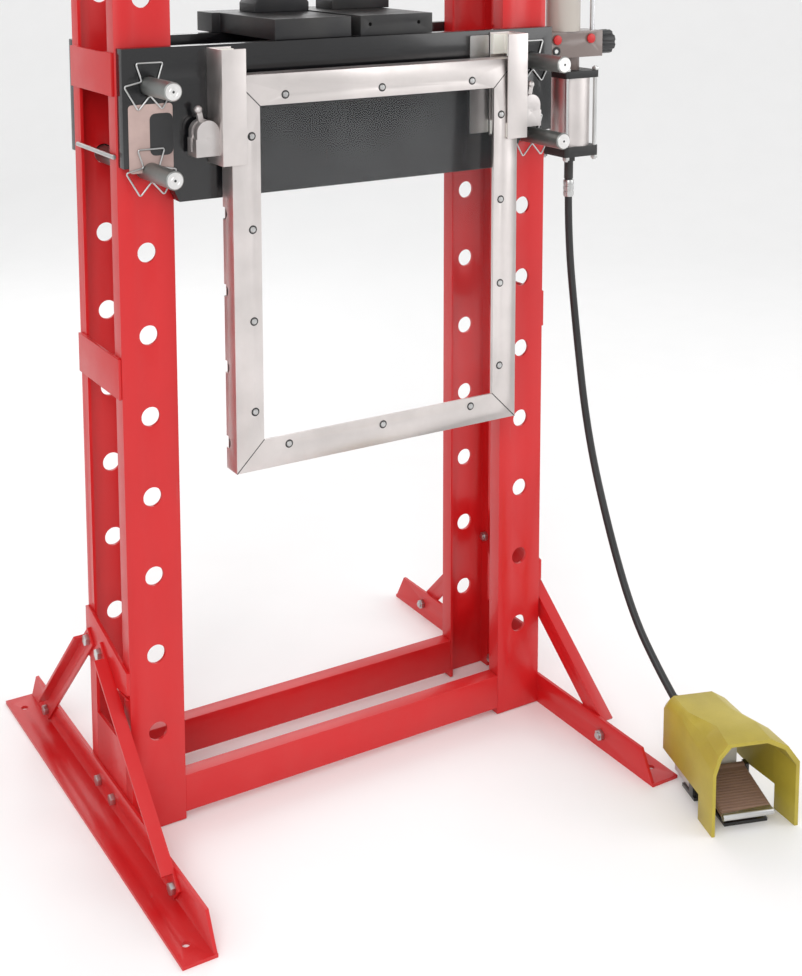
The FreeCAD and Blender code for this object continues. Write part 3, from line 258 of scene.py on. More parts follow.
ALONG_Z = (900.0, 900.0, 12.0)
ALONG_Y = (900.0, 12.0, 900.0)
EVEN = (420.0, 420.0, 420.0)
metal("aluminium_upright", rgba(0.74, 0.69, 0.675), rgba(0.62, 0.58, 0.565), 0.34, ALONG_Z, 4e-5)
metal("aluminium_cast", rgba(0.68, 0.64, 0.63), rgba(0.56, 0.53, 0.52), 0.38, EVEN, 5e-5)
metal("zinc", rgba(0.64, 0.64, 0.63), rgba(0.48, 0.48, 0.48), 0.26, EVEN, 4e-5)
metal("polished_bar", rgba(0.78, 0.78, 0.79), rgba(0.66, 0.66, 0.68), 0.14, ALONG_Z, 2e-5)
metal("pin_steel", rgba(0.36, 0.37, 0.36), rgba(0.27, 0.28, 0.27), 0.42, ALONG_Y, 5e-5)
metal("pin_face", rgba(0.85, 0.84, 0.83), rgba(0.72, 0.71, 0.70), 0.30, EVEN, 3e-5)
metal("black_oxide", rgba(0.022, 0.022, 0.024), rgba(0.040, 0.039, 0.038), 0.34, EVEN, 8e-5,
      0.16, 0.35)
metal("oiled_steel", rgba(0.16, 0.155, 0.15), rgba(0.10, 0.098, 0.095), 0.28, EVEN, 4e-5)


# %% [markdown]
# ## Plastic, rubber and cast covers
# These are not metal, so their look is in the grain: a fine pebble on moulded plastic, a coarser
# one on the pedal's powder-coated casting, and nearly none on a turned plug.

# %% Grained finishes
def grained(name, colour, shade, roughness, scale, depth, wear=0.0, **constants):
    cover = Finish(name, **constants)
    pebble = cover.noise(scale, 2.0, 0.55)
    cloud = cover.noise(6.0, 4.0)
    worn = cover.edge() * cover.between(cover.noise(70.0, 4.0, 0.65), 0.45, 0.6) * wear
    tone = cover.mix(cover.between(cloud, 0.35, 0.65), colour, shade)
    tone = cover.mix(cover.between(pebble, 0.55, 0.8) * 0.25, tone, shade)
    tone = cover.mix(worn, tone, rgba(0.42, 0.37, 0.24))
    rough = roughness + pebble * 0.12
    return cover.feed(Base_Color=tone, Roughness=rough, Normal=cover.bump(pebble, depth, 0.6))


grained("yellow_casting", rgba(0.52, 0.42, 0.045), rgba(0.36, 0.28, 0.03), 0.34, 420.0, 2.5e-4,
        0.5)
grained("moulded_black", rgba(0.014, 0.014, 0.015), rgba(0.022, 0.022, 0.023), 0.34, 600.0, 8e-5)
grained("red_plug", rgba(0.55, 0.012, 0.012), rgba(0.45, 0.01, 0.01), 0.24, 500.0, 3e-5)
grained("nylon", rgba(0.78, 0.76, 0.70), rgba(0.70, 0.68, 0.62), 0.38, 300.0, 5e-5,
        Subsurface_Weight=0.05)
grained("treadle_rubber", rgba(0.30, 0.19, 0.14), rgba(0.21, 0.125, 0.095), 0.52, 500.0, 1.5e-4)
grained("hose_rubber", rgba(0.010, 0.010, 0.011), rgba(0.020, 0.020, 0.021), 0.36, 500.0, 1e-4)
grained("plate_white", rgba(0.70, 0.69, 0.66), rgba(0.62, 0.61, 0.58), 0.30, 200.0, 2e-5)
# painted reflection: this pale, mottled colour stands for light reflected by the bolster's gloss
# enamel at its left end
grained("label_pale", rgba(0.62, 0.46, 0.42), rgba(0.34, 0.24, 0.22), 0.30, 160.0, 6e-5)
grained("studio_floor", rgba(0.95, 0.95, 0.95), rgba(0.94, 0.94, 0.94), 0.6, 40.0, 1e-5)


def clear(name, tint, alpha):
    """Clear sheet: nearly all of it is let through, and the gloss does the rest."""
    sheet = Finish(name, Base_Color=tint, IOR=1.49)
    smear = sheet.between(sheet.noise(7.0, 5.0, 0.6), 0.45, 0.8)
    sheet.material.surface_render_method = "BLENDED"
    return sheet.feed(Roughness=0.04 + smear * 0.10, Alpha=alpha + smear * 0.012)


clear("polycarbonate", rgba(0.60, 0.64, 0.66), 0.012)
clear("gauge_lens", rgba(0.95, 0.96, 0.97), 0.10)
print("finishes:", sorted(MATERIALS))

# %% [markdown]
# ## Which piece has which finish
# The table is read by what follows: a piece with a width in the third column is rebuilt with its
# sharp edges rounded by that much, in millimetres; the others keep the mesh that the frame gives.

# %% The table of pieces
RED = ("post_left_front post_left_rear post_right_front post_right_rear lower_rails feet "
       "side_plates foot_braces head_beams cylinder_carriage")
BLACK = "bolster_plates bolster_cross_plates cylinder_body gauge_case"
LOOKS = [
    (RED, "red_enamel", 0.9),
    (BLACK, "black_enamel", 1.0),
    ("arbor_plate_left arbor_plate_right v_block_left v_block_right", "black_oxide", 1.2),
    ("guard_frame guard_sleeves", "aluminium_upright", 0.5),
    ("latch_blocks latch_lever_left latch_lever_right", "aluminium_cast", 0.8),
    ("air_cylinder_plates", "black_oxide", 1.2),
    ("air_cylinder_tube", "aluminium_upright", 0.0),
    ("pedal_valve", "plate_white", 0.8),
    ("pump_valve_block", "valve_paint", 1.2),
    ("pump_reservoir", "reservoir_paint", 1.5),
    ("frame_bolts", "zinc", 0.4),
    ("air_cylinder_tie_rods", "zinc", 0.4),
    ("guard_screws latch_plunger_left latch_plunger_right", "zinc", 0.3),
    ("clip_left_upper clip_left_lower clip_right_upper clip_right_lower", "zinc", 0.0),
    ("pressure_line ram_rod", "polished_bar", 0.0),
    ("ram_nose cylinder_gland cylinder_ring_nut", "oiled_steel", 1.0),
    ("piston air_piston", "oiled_steel", 0.0),
    ("return_spring", "oiled_steel", 0.0),
    ("pin_left_upper pin_left_lower pin_right_upper pin_right_lower", "pin_steel", 0.0),
    ("guard_guides", "nylon", 0.6),
    ("guard_panel", "polycarbonate", 0.0),
    ("pump_plugs", "red_plug", 1.2),
    ("release_knob", "moulded_black", 2.2),
    ("gauge_needle", "moulded_black", 0.0),
    ("hose_fittings", "black_oxide", 0.8),
    ("pedal_hood", "yellow_casting", 2.4),
    ("pedal_base", "black_enamel", 0.8),
    ("treadle", "treadle_rubber", 0.6),
]


# %% Rounding the edges
MERGE = 2e-6
FLAT = math.radians(0.6)
SHARP = math.radians(32)


def softened(name, material, width):
    """A copy of a frame piece whose sharp edges are rounded and marked with the edge attribute."""
    source = nodes[name]
    shape = bmesh.new()
    shape.from_mesh(source.data)
    bmesh.ops.remove_doubles(shape, verts=shape.verts, dist=MERGE)
    bmesh.ops.dissolve_limit(shape, angle_limit=FLAT, verts=shape.verts,
                             edges=shape.edges, use_dissolve_boundaries=False)
    sharp = [edge for edge in shape.edges
             if len(edge.link_faces) == 2 and edge.calc_face_angle(0.0) > SHARP]
    made = bmesh.ops.bevel(shape, geom=sharp, offset=width / 1000, segments=2, profile=0.6,
                           affect="EDGES", clamp_overlap=True, loop_slide=True)
    bmesh.ops.triangulate(shape, faces=shape.faces)
    layer = shape.faces.layers.float.new("edge")
    rounds = set(face for face in made["faces"] if face.is_valid)
    for face in rounds:
        face[layer] = 1.0
    mesh = bpy.data.meshes.new(name + "_soft")
    shape.to_mesh(mesh)
    shape.free()
    mesh.materials.append(MATERIALS[material])
    mesh.shade_smooth()
    mesh.set_sharp_from_angle(angle=SHARP)
    piece = bpy.data.objects.new(name + "_finished", mesh)
    bpy.context.scene.collection.objects.link(piece)
    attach(piece, owner[name])
    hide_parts(name)
    return piece


def painted(name, material):
    """A frame piece kept as it is, with its finish."""
    mesh = nodes[name].data
    mesh.materials.clear()
    mesh.materials.append(MATERIALS[material])
    return nodes[name]


for names, material, width in LOOKS:
    for name in names.split():
        if width:
            softened(name, material, width)
        else:
            painted(name, material)
print("pieces finished:", sum(len(names.split()) for names, _, _ in LOOKS))

# %% [markdown]
# ## Where the small solids lie
# Screws, bolts and plugs share one frame piece each.  Walking over the edges of that piece splits
# it into its loose solids, and their boxes place every ring, washer and weld that follows.

# %% The boxes of a piece's solids
def solids(name):
    """The low and high corners of each loose solid of a frame piece."""
    shape = bmesh.new()
    shape.from_mesh(nodes[name].data)
    bmesh.ops.remove_doubles(shape, verts=shape.verts, dist=MERGE)
    unseen = set(shape.verts)
    boxes = []
    while unseen:
        waiting = [unseen.pop()]
        places = []
        while waiting:
            vertex = waiting.pop()
            places.append(vertex.co.copy())
            for edge in vertex.link_edges:
                other = edge.other_vert(vertex)
                if other in unseen:
                    unseen.discard(other)
                    waiting.append(other)
        low = Vector([min(place[axis] for place in places) for axis in range(3)])
        high = Vector([max(place[axis] for place in places) for axis in range(3)])
        boxes.append((low, high))
    shape.free()
    return sorted(boxes, key=lambda pair: tuple(round(value, 4) for value in pair[0]))


def kept(name, mesh, material, body):
    """An object on a body, made from a finished mesh."""
    if material:
        mesh.materials.clear()
        mesh.materials.append(MATERIALS[material])
    piece = bpy.data.objects.new(name, mesh)
    bpy.context.scene.collection.objects.link(piece)
    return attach(piece, body)


print("guard screws:", len(solids("guard_screws")), "bolts and nuts:", len(solids("frame_bolts")))

# %% [markdown]
# ## Turned trim
# Pin ends, rings, ports and the gauge's bezel are all lathe work: a short profile of radius and
# height steps is spun round an axis.  The profile is closed, so the ring is a solid.

# %% Spin a profile
def lathe(name, profile, places, along, material, body, steps=48):
    """Spin a closed profile of (radius, height) steps in millimetres at each place."""
    shape = bmesh.new()
    facing = Vector(along).to_track_quat("Z", "Y").to_matrix()
    for place in places:
        rings = []
        for turn in range(steps):
            angle = 2 * math.pi * turn / steps
            ring = []
            for radius, height in profile:
                point = Vector((radius * math.cos(angle), radius * math.sin(angle), height))
                ring.append(shape.verts.new(facing @ point / 1000 + Vector(place)))
            rings.append(ring)
        for turn in range(steps):
            here = rings[turn]
            there = rings[(turn + 1) % steps]
            for step in range(len(profile)):
                after = (step + 1) % len(profile)
                shape.faces.new((here[step], there[step], there[after], here[after]))
    bmesh.ops.remove_doubles(shape, verts=shape.verts, dist=1e-6)
    bmesh.ops.recalc_face_normals(shape, faces=shape.faces)
    mesh = bpy.data.meshes.new(name)
    shape.to_mesh(mesh)
    shape.free()
    mesh.shade_smooth()
    mesh.set_sharp_from_angle(angle=math.radians(30))
    return kept(name, mesh, material, body)


# %% [markdown]
# ## Locking pin ends
# The pins are dark bar, but their ends are faced on a lathe: bright, with a turned ring.  A flat
# black disc in the middle is painted shade for the small centre hole that the tailstock leaves.

# %% Bright ends on the pins
PIN_END = [(2.2, 0.0), (2.2, 0.5), (6.6, 0.5), (7.2, 0.1), (7.8, 0.5), (13.2, 0.5), (13.6, 0.0)]
# painted shade: a flat black disc stands for the shade inside the centre hole
CENTRE_SHADE = [(0.0, 0.02), (2.3, 0.02), (2.3, 0.3), (1.0, 0.12), (0.0, 0.10)]
for side in ("left_upper", "left_lower", "right_upper", "right_lower"):
    low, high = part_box("pin_" + side)
    end = Vector(((low[0] + high[0]) / 2, low[1], (low[2] + high[2]) / 2))
    body = owner["pin_" + side]
    lathe(f"pin_end_{side}", PIN_END, [end], (0, -1, 0), "pin_face", body)
    # the black disc is painted shade of the centre hole
    lathe(f"pin_centre_painted_shade_{side}", CENTRE_SHADE, [end], (0, -1, 0), "moulded_black", body, 24)
print("last pin end at", [round(value, 4) for value in end])

# %% [markdown]
# ## Where the hose runs
# The hose and the pedal are placed from one corner of the press, in millimetres.  The hose leaves
# the pump's cylinder downwards, bows forward under its own weight and ends behind the pedal.  Its
# route has few points, chosen where a real hose changes direction.

# %% The hose's route
CORNER = Vector((-501.0, 10.1, 0.0))
HOSE_POINTS = [(967, 36, 1068), (967, 36, 958), (968, 8.5, 775), (969.2, -31.4, 563.4),
               (970.4, -99.5, 386), (971.7, -174.4, 239), (973, -249.4, 158.6),
               (974, -292.3, 122.6)]
route = [(Vector(point) + CORNER) / 1000 for point in HOSE_POINTS]
print("hose starts at", [round(value, 4) for value in route[0]])

# %% [markdown]
# ## Rings and ports
# A dark seat shows round every guard screw, the hose starts in a crimped sleeve, and a black ringed
# port sits under the left red plug on the pump's valve block.

# %% Screw seats
SEAT = [(4.4, -0.2), (7.4, -0.2), (7.4, 0.25), (6.9, 0.45), (5.2, 0.45), (4.4, 0.2)]
heads = []
for low, high in solids("guard_screws"):
    heads.append(((low.x + high.x) / 2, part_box("guard_frame")[0][1], (low.z + high.z) / 2))
lathe("guard_screw_seats", SEAT, heads, (0, -1, 0), "moulded_black", "guard", 24)

# %% Port and sleeve
PORT_LEFT = 0.001
PORT_DROP = 0.0128
PORT_RING = [(4.5, -0.5), (9.0, -0.5), (9.0, 1.6), (8.0, 2.4), (5.6, 2.4), (4.5, 1.2)]
PORT_PLUG = [(0.0, -0.3), (4.6, -0.3), (4.6, 0.9), (3.6, 1.5), (0.0, 1.5)]
CRIMP = [(7.4, -34), (9.4, -34), (10.6, -31), (10.6, -24), (10.0, -23), (10.0, -21), (10.6, -20),
         (10.6, -13), (10.0, -12), (10.0, -10), (10.6, -9), (10.6, -2), (9.6, 0), (7.4, 0)]
BELOW_NUT = Vector((0, 0, -0.002))
plug_low, plug_high = solids("pump_plugs")[0]
port = ((plug_low.x + plug_high.x) / 2 - PORT_LEFT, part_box("pump_valve_block")[0][1],
        plug_low.z - PORT_DROP)
lathe("valve_port_ring", PORT_RING, [port], (0, -1, 0), "moulded_black", "press_frame")
lathe("valve_port_plug", PORT_PLUG, [port], (0, -1, 0), "zinc", "press_frame", 24)
lathe("hose_crimp", CRIMP, [route[0] + BELOW_NUT], (0, 0, 1), "zinc", "press_frame")
print("port at", [round(value, 4) for value in port])

# %% [markdown]
# ## Geometry trees
# Dial marks, weld beads and washers repeat along a line or over points, so each is one small
# geometry tree with named sizes.  A tree ends by making its copies real and giving them a
# material, and its result is kept as a plain mesh.

# %% A tree that grows copies
class Growth(Graph):
    """A geometry tree with named inputs that is run on a small seed mesh."""

    def __init__(self, name, **sizes):
        tree = bpy.data.node_groups.new(name, "GeometryNodeTree")
        tree.interface.new_socket("Geometry", in_out="OUTPUT", socket_type="NodeSocketGeometry")
        tree.interface.new_socket("Geometry", in_out="INPUT", socket_type="NodeSocketGeometry")
        for label, size in sizes.items():
            kind = "NodeSocketInt" if isinstance(size, int) else "NodeSocketFloat"
            tree.interface.new_socket(label, in_out="INPUT", socket_type=kind).default_value = size
        super().__init__(tree)
        self.entry = tree.nodes.new("NodeGroupInput")
        self.seed = self.given("Geometry")

    def given(self, label):
        return Wire(self, self.entry.outputs[label])

    def vector(self, x, y, z):
        return self.add("ShaderNodeCombineXYZ", None, {0: x, 1: y, 2: z})

    def finish(self, copies, material):
        solid = self.add("GeometryNodeRealizeInstances", None, {0: copies})
        given = {"Geometry": solid, "Material": MATERIALS[material]}
        dressed = self.add("GeometryNodeSetMaterial", None, given)
        self.join(dressed, self.tree.nodes.new("NodeGroupOutput").inputs[0])

    def grow(self, name, points, edges, body, **sizes):
        """Run the tree on points and edges, and keep the result as a plain mesh."""
        seed = bpy.data.meshes.new(name + "_seed")
        seed.from_pydata([tuple(point) for point in points], edges, [])
        holder = bpy.data.objects.new(name + "_seed", seed)
        bpy.context.scene.collection.objects.link(holder)
        modifier = holder.modifiers.new("growth", "NODES")
        modifier.node_group = self.tree
        for item in self.tree.interface.items_tree:
            if item.in_out == "INPUT" and item.name in sizes:
                modifier[item.identifier] = sizes[item.name]
        evaluated = holder.evaluated_get(bpy.context.evaluated_depsgraph_get())
        mesh = bpy.data.meshes.new_from_object(evaluated)
        bpy.data.objects.remove(holder)
        mesh.shade_smooth()
        mesh.set_sharp_from_angle(angle=math.radians(35))
        return kept(name, mesh, None, body)


# %% [markdown]
# ## Weld beads
# Arc welding leaves a row of overlapping ripples.  Each seam is a line that is sampled every few
# millimetres, and a flattened drop lies at every sample, turned along the seam and varied a little.

# %% The weld tree
weld = Growth("weld_bead", Pitch=0.0032, Width=0.0034, Proud=0.0016, Seed=7)
bead = weld.add("GeometryNodeMeshToCurve", None, {"Mesh": weld.seed})
bead = weld.add("GeometryNodeResampleCurve", {"mode": "LENGTH"},
                {"Curve": bead, "Length": weld.given("Pitch")})
drop = weld.add("GeometryNodeMeshUVSphere", None, {"Segments": 8, "Rings": 5, "Radius": 1.0})
along = weld.add("GeometryNodeInputTangent")
turn = weld.add("FunctionNodeAlignEulerToVector", {"axis": "X"}, {"Vector": along})
uneven = weld.add("FunctionNodeRandomValue", {"data_type": "FLOAT"},
                  {2: 0.86, 3: 1.14, "Seed": weld.given("Seed")}, output=1)
drop_size = weld.vector(weld.given("Width") * uneven, weld.given("Width") * uneven,
                        weld.given("Proud") * uneven)
drops = weld.add("GeometryNodeInstanceOnPoints", None,
                 {"Points": bead, "Instance": drop, "Rotation": turn, "Scale": drop_size})
weld.finish(drops, "red_enamel")

# %% Seams of the frame
WIDE_PLATE = 0.18
GUSSET_LEVEL = 0.5
PLATE_EDGE = 0.003
SUNK = 0.0042
SEAM_START = 0.004
SEAM_END = 0.032
seams = []
seam_ends = []


def seam(start, end):
    """One straight weld from a start to an end."""
    seam_ends.append((len(seams), len(seams) + 1))
    seams.append(start)
    seams.append(end)


for low, high in solids("side_plates"):
    if high.y - low.y > WIDE_PLATE:
        flush = low.x + SUNK if low.x < 0 else high.x - SUNK
        near = low.y + PLATE_EDGE
        far = high.y - PLATE_EDGE
        for height in (low.z, high.z) if low.z > GUSSET_LEVEL else (low.z,):
            seam((flush, near + SEAM_START, height), (flush, near + SEAM_END, height))
            seam((flush, far - SEAM_END, height), (flush, far - SEAM_START, height))
weld.grow("frame_welds", seams, seam_ends, "press_frame")
print("weld seams:", len(seam_ends))

# %% [markdown]
# ## Corners of the guard
# The guard's rails are cut at 45 degrees and joined at the corners, which leaves a fine line from
# the outer to the inner corner on the front face.

# %% Corner joints
joint = Growth("mitre_line", Pitch=0.0012, Width=0.0011, Proud=0.00022, Seed=3)
mitre = joint.add("GeometryNodeMeshToCurve", None, {"Mesh": joint.seed})
mitre = joint.add("GeometryNodeResampleCurve", {"mode": "LENGTH"},
                  {"Curve": mitre, "Length": joint.given("Pitch")})
grain = joint.add("GeometryNodeMeshIcoSphere", None, {"Radius": 1.0, "Subdivisions": 1})
grain_size = joint.vector(joint.given("Width"), joint.given("Proud"), joint.given("Width"))
grains = joint.add("GeometryNodeInstanceOnPoints", None,
                   {"Points": mitre, "Instance": grain, "Scale": grain_size})
joint.finish(grains, "moulded_black")
guard_low, guard_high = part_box("guard_frame")
RAIL = 0.052
TIP = 0.0006
corners = []
for x, inward in ((guard_low[0], 1), (guard_high[0], -1)):
    for z, upward in ((guard_low[2], 1), (guard_high[2], -1)):
        corners.append((x + TIP * inward, guard_low[1], z + TIP * upward))
        corners.append((x + RAIL * inward, guard_low[1], z + RAIL * upward))
pairs = [(first, first + 1) for first in range(0, len(corners), 2)]
joint.grow("guard_corner_joints", corners, pairs, "guard")
print("guard corners:", len(pairs))

# %% [markdown]
# ## Washers
# Each bolt of the head sits on a plain washer, in front and behind.  The head's bolts are the ones
# above one and a half metres, and a washer lies on the beam's outer face round each of them.

# %% Washers under the bolts
washer = Growth("washer", Radius=0.0125, Thick=0.0012)
disc = washer.add("GeometryNodeMeshCylinder", None,
                  {"Vertices": 32, "Radius": washer.given("Radius"),
                   "Depth": washer.given("Thick")})
discs = washer.add("GeometryNodeInstanceOnPoints", None,
                   {"Points": washer.add("GeometryNodeMeshToPoints", None, {0: washer.seed}),
                    "Instance": disc, "Rotation": (math.radians(90), 0, 0)})
washer.finish(discs, "zinc")
HEAD_LEVEL = 1.5
CLEAR = 0.0005
beam_low, beam_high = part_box("head_beams")
bolt_places = set()
for low, high in solids("frame_bolts"):
    if low.z > HEAD_LEVEL:
        centre = ((low.x + high.x) / 2, (low.z + high.z) / 2)
        bolt_places.add(tuple(round(value, 4) for value in centre))
seats = [(x, y, z) for x, z in sorted(bolt_places)
         for y in (beam_low[1] - CLEAR, beam_high[1] + CLEAR)]
washer.grow("head_washers", seats, [], "press_frame", Radius=0.016)
print("washers:", len(seats))

# %% [markdown]
# ## The pressure gauge
# Inside the black case lie a white dial with a scale of short and long marks and a clear lens.
# The marks are copies of one small bar round an arc, and every fifth is longer.

# %% Dial and scale
DIAL_DEPTH = 0.0125
GLASS_RADIUS = 43.6
ROUND = 64
gauge_low, gauge_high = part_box("gauge_case")
dial_at = Vector(((gauge_low[0] + gauge_high[0]) / 2, gauge_low[1] + DIAL_DEPTH,
                  (gauge_low[2] + gauge_high[2]) / 2))
DIAL = [(0.0, -0.6), (GLASS_RADIUS, -0.6), (GLASS_RADIUS, 0.0), (0.0, 0.0)]
lathe("gauge_dial", DIAL, [dial_at], (0, -1, 0), "plate_white", "press_frame", ROUND)
scale = Growth("dial_scale", Marks=51, Radius=0.037, Length=0.0030)
arc = scale.add("GeometryNodeCurveArc", {"mode": "RADIUS"},
                {"Resolution": scale.given("Marks"), "Radius": scale.given("Radius"),
                 "Start Angle": math.radians(-45), "Sweep Angle": math.radians(270)})
count = scale.add("GeometryNodeInputIndex")
fifth = 1 - count.maths("MODULO", count, 5).above(0.5)
bar = scale.add("GeometryNodeMeshCube", None, {"Size": (1.0, 0.0007, 0.0003)})
outwards = scale.add("FunctionNodeAlignEulerToVector", {"axis": "X"},
                     {"Vector": scale.add("GeometryNodeInputPosition")})
bar_size = scale.vector(scale.given("Length") * (1 + fifth * 0.8), 1 + fifth * 0.7, 1.0)
marks = scale.add("GeometryNodeInstanceOnPoints", None,
                  {"Points": arc, "Instance": bar, "Rotation": outwards,
                    "Scale": bar_size})
stand = scale.add("GeometryNodeTransform", None,
                  {"Geometry": marks, "Rotation": (math.radians(90), 0, 0),
                   "Translation": tuple(dial_at + Vector((0, -0.0002, 0)))})
scale.finish(stand, "moulded_black")
scale.grow("gauge_marks", [(0, 0, 0)], [], "press_frame")

# %% Lens and bezel
LENS = [(0.0, -3.2), (GLASS_RADIUS, -3.2), (GLASS_RADIUS, -1.2), (0.0, -1.2)]
BEZEL = [(42.6, -1.4), (48.0, -1.4), (49.2, -0.4), (49.2, 0.6), (47.4, 1.8), (44.6, 1.8),
         (42.6, 0.2)]
case_front = Vector((dial_at.x, gauge_low[1], dial_at.z))
lathe("gauge_lens", LENS, [case_front], (0, -1, 0), "gauge_lens", "press_frame", ROUND)
lathe("gauge_bezel", BEZEL, [case_front], (0, -1, 0), "zinc", "press_frame", ROUND)
print("gauge dial at", [round(value, 4) for value in dial_at])

# %% [markdown]
# ## Painted reflection and blank plate
# A pale sheet at the left end of the bolster is a painted reflection of light on its gloss enamel,
# and a black sheet on it is the painted shadow of the pins.  A smaller plate behind the guard's
# right rail stays blank.  Each is a thin sheet with round corners.

# %% Thin plates with round corners
def plate(name, across, up, front, thick, corner, material, body):
    """A sheet in the XZ plane, standing proud of a face that looks towards -Y."""
    shape = bmesh.new()
    rim = []
    left = across[0] + corner
    right = across[1] - corner
    bottom = up[0] + corner
    top = up[1] - corner
    for x, z, first in ((right, top, 0), (left, top, 90), (left, bottom, 180), (right, bottom, 270)):
        for step in range(5):
            angle = math.radians(first + step * 22.5)
            rim.append((x + corner * math.cos(angle), z + corner * math.sin(angle)))
    near = [shape.verts.new((x, front - thick, z)) for x, z in rim]
    far = [shape.verts.new((x, front, z)) for x, z in rim]
    shape.faces.new(near)
    shape.faces.new(list(reversed(far)))
    for step in range(len(rim)):
        after = (step + 1) % len(rim)
        shape.faces.new((near[step], far[step], far[after], near[after]))
    bmesh.ops.recalc_face_normals(shape, faces=shape.faces)
    mesh = bpy.data.meshes.new(name)
    shape.to_mesh(mesh)
    shape.free()
    return kept(name, mesh, material, body)


bolster_low, bolster_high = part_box("bolster_plates")
bolster_face = bolster_low[1]
left_end = bolster_low[0]
right_end = bolster_high[0]
# painted reflection: a thin pale sheet on the bolster's left end stands for light reflected by the
# gloss enamel
REFLECTION_THICK = 0.0006
reflection_across = (left_end + 0.009, left_end + 0.087)
reflection_up = (bolster_high[2] - 0.205, bolster_high[2] - 0.092)
plate("bolster_reflection_sheet_left", reflection_across, reflection_up, bolster_face, REFLECTION_THICK, 0.006,
      "label_pale", "press_frame")
# painted shadow: a thin black sheet on the painted reflection stands for the shadow that the pins
# cast
pin_shadow_across = (left_end + 0.046, left_end + 0.087)
pin_shadow_up = (bolster_high[2] - 0.178, bolster_high[2] - 0.108)
plate("bolster_pin_shadow_left", pin_shadow_across, pin_shadow_up, bolster_face - REFLECTION_THICK, 0.0002, 0.010,
      "moulded_black", "press_frame")
strip_across = (right_end - 0.1897, right_end - 0.1477)
strip_up = (bolster_high[2] - 0.191, bolster_high[2] - 0.009)
plate("bolster_plate_right", strip_across, strip_up, bolster_face, 0.0012, 0.003,
      "zinc", "press_frame")
print("painted reflection", [round(value, 3) for value in (*reflection_across, *reflection_up)])

# %% [markdown]
# ## The treadle
# A bright rolled bar stiffens the treadle's front edge, and the faces there take that finish.

# %% Bright toe bar
PEDAL_TURN = Matrix.Rotation(math.radians(-17.9), 4, "Z")
PEDAL_PLACE = Vector((863.8, -511.9, 0.0))
TOE_BAR = 0.0125
pedal_corner = (PEDAL_PLACE + CORNER) / 1000
treadle = bpy.data.objects["treadle_finished"]
treadle.data.materials.append(MATERIALS["zinc"])
to_pedal = PEDAL_TURN.inverted()
reach = min((to_pedal @ (vertex.co - pedal_corner)).y for vertex in treadle.data.vertices)
for polygon in treadle.data.polygons:
    if (to_pedal @ (polygon.center - pedal_corner)).y < reach + TOE_BAR:
        polygon.material_index = 1
print("treadle reaches", round(reach, 4), "in front of the hinge line")

# %% [markdown]
# The small spring under the treadle is squeezed when the foot presses.  Here its copy keeps the
# frame's shape, with a mesh of its own and an oiled finish.

# %% Treadle spring
coil = kept("treadle_coil", nodes["treadle_spring"].data.copy(), "oiled_steel", "press_frame")
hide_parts("treadle_spring")
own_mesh(coil)

# %% [markdown]
# ## The hose
# The air hose hangs along the route that was set above.  It could be swept from a mesh ring; a
# curve with a round section is smoother and stays short, and it passes gently by its points.

# %% Hose
HOSE_DIAMETER = 0.015
hose_line = bpy.data.curves.new("hose_line", "CURVE")
hose_line.dimensions = "3D"
hose_line.bevel_depth = HOSE_DIAMETER / 2
hose_line.bevel_resolution = 6
hose_line.resolution_u = 24
spline = hose_line.splines.new("NURBS")
spline.points.add(len(route) - 1)
for point, place in zip(spline.points, route):
    point.co = (*place, 1.0)
spline.order_u = 3
spline.use_endpoint_u = True
hose_line.materials.append(MATERIALS["hose_rubber"])
hose = bpy.data.objects.new("air_hose", hose_line)
bpy.context.scene.collection.objects.link(hose)
hose_length = sum((b - a).length for a, b in zip(route, route[1:]))
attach(hose, "press_frame")
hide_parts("hose")
print(f"hose along its points {hose_length:.3f} m")

# %% [markdown]
# ## Light, floor and camera
# A wide pale floor runs up into a pale wall, and three large lamps wash the press from the front,
# so that the red keeps its colour and the enamel shows long soft highlights.

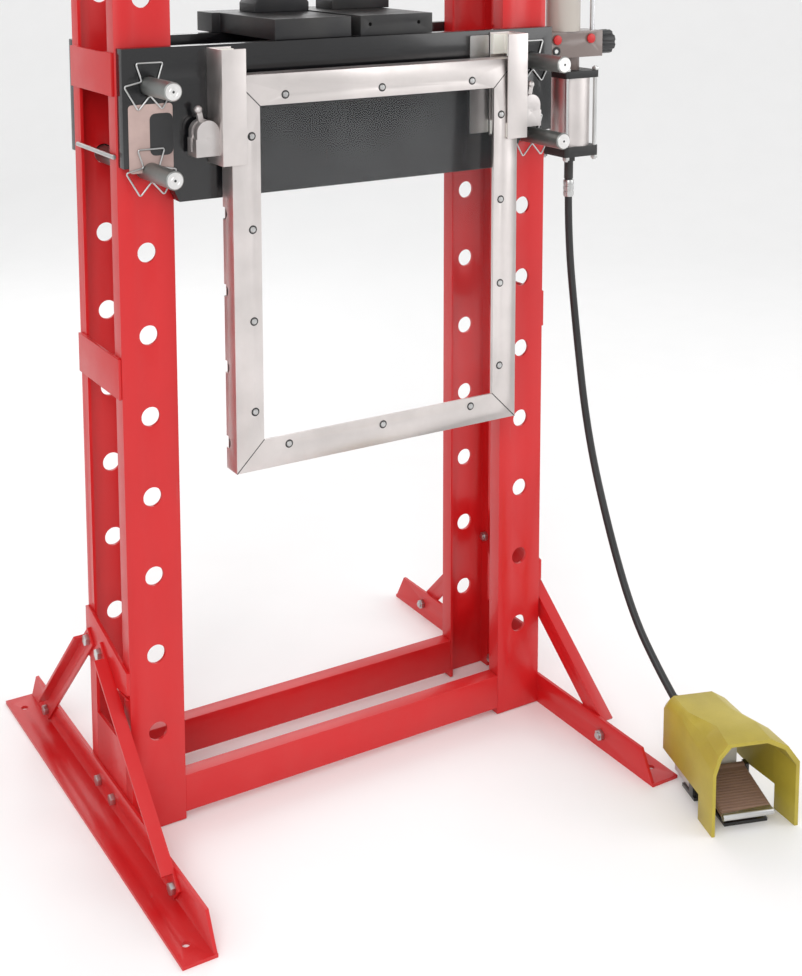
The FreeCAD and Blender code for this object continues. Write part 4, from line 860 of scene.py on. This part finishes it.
# %% Floor and wall in one sweep
SIDE = 14.0
BEHIND = 4.0
BEND = 3.0
WALL = 12.0
STEPS = 16
profile = [(-SIDE, 0.0), (BEHIND, 0.0)]
for step in range(1, STEPS + 1):
    angle = math.radians(90 * step / STEPS)
    profile.append((BEHIND + BEND * math.sin(angle), BEND - BEND * math.cos(angle)))
profile.append((BEHIND + BEND, WALL))
turned = math.radians(-30.0)
points = []
for side in (-SIDE, SIDE):
    for y, z in profile:
        points.append((side * math.cos(turned) - y * math.sin(turned),
                       side * math.sin(turned) + y * math.cos(turned), z))
row = len(profile)
faces = [(step, step + row, step + row + 1, step + 1) for step in range(row - 1)]
sweep_mesh = bpy.data.meshes.new("sweep")
sweep_mesh.from_pydata(points, [], faces)
sweep_mesh.shade_smooth()
sweep_mesh.materials.append(MATERIALS["studio_floor"])
sweep = bpy.data.objects.new("sweep", sweep_mesh)
bpy.context.scene.collection.objects.link(sweep)


# %% Lamps
def lamp(name, place, target, size, power):
    light = bpy.data.lights.new(name, "AREA")
    light.energy = power
    light.size = size
    holder = bpy.data.objects.new(name, light)
    bpy.context.scene.collection.objects.link(holder)
    aim = Vector(target) - Vector(place)
    holder.matrix_world = (Matrix.Translation(place)
                           @ aim.to_track_quat("-Z", "Y").to_matrix().to_4x4())
    return holder


lamp("key_lamp", place=(-2.6, -3.4, 3.4), target=(0.0, 0.0, 0.9), size=2.6, power=95)
lamp("fill_lamp", place=(3.4, -2.6, 2.2), target=(0.2, 0.0, 0.8), size=2.4, power=40)
lamp("back_lamp", place=(0.6, 3.2, 3.2), target=(0.0, 0.0, 1.0), size=2.8, power=40)
world = bpy.data.worlds.new("studio")
world.use_nodes = True
world.node_tree.nodes["Background"].inputs["Color"].default_value = (1.0, 1.0, 1.0, 1.0)
world.node_tree.nodes["Background"].inputs["Strength"].default_value = 0.80
bpy.context.scene.world = world
bpy.context.scene.view_settings.view_transform = "Standard"

# %% Camera
AZIMUTH = math.radians(-30.03)
DOWN = math.radians(7.32)
ROLL = math.radians(-0.31)
STAND = (-1.3658, -2.2491, 1.5918)
ahead = Vector((-math.sin(AZIMUTH) * math.cos(DOWN), math.cos(AZIMUTH) * math.cos(DOWN),
                -math.sin(DOWN)))
level = ahead.cross(Vector((0, 0, 1))).normalized()
upright = level.cross(ahead)
across = level * math.cos(ROLL) + upright * math.sin(ROLL)
upwards = upright * math.cos(ROLL) - level * math.sin(ROLL)
eye = bpy.data.cameras.new("camera")
eye.sensor_width = 36.0
eye.lens = 54.44
eye.shift_x = 0.0532
eye.shift_y = -0.3929
camera = bpy.data.objects.new("camera", eye)
bpy.context.scene.collection.objects.link(camera)
tilt = Matrix((across, upwards, -ahead)).transposed().to_4x4()
camera.matrix_world = Matrix.Translation(STAND) @ tilt
bpy.context.scene.camera = camera
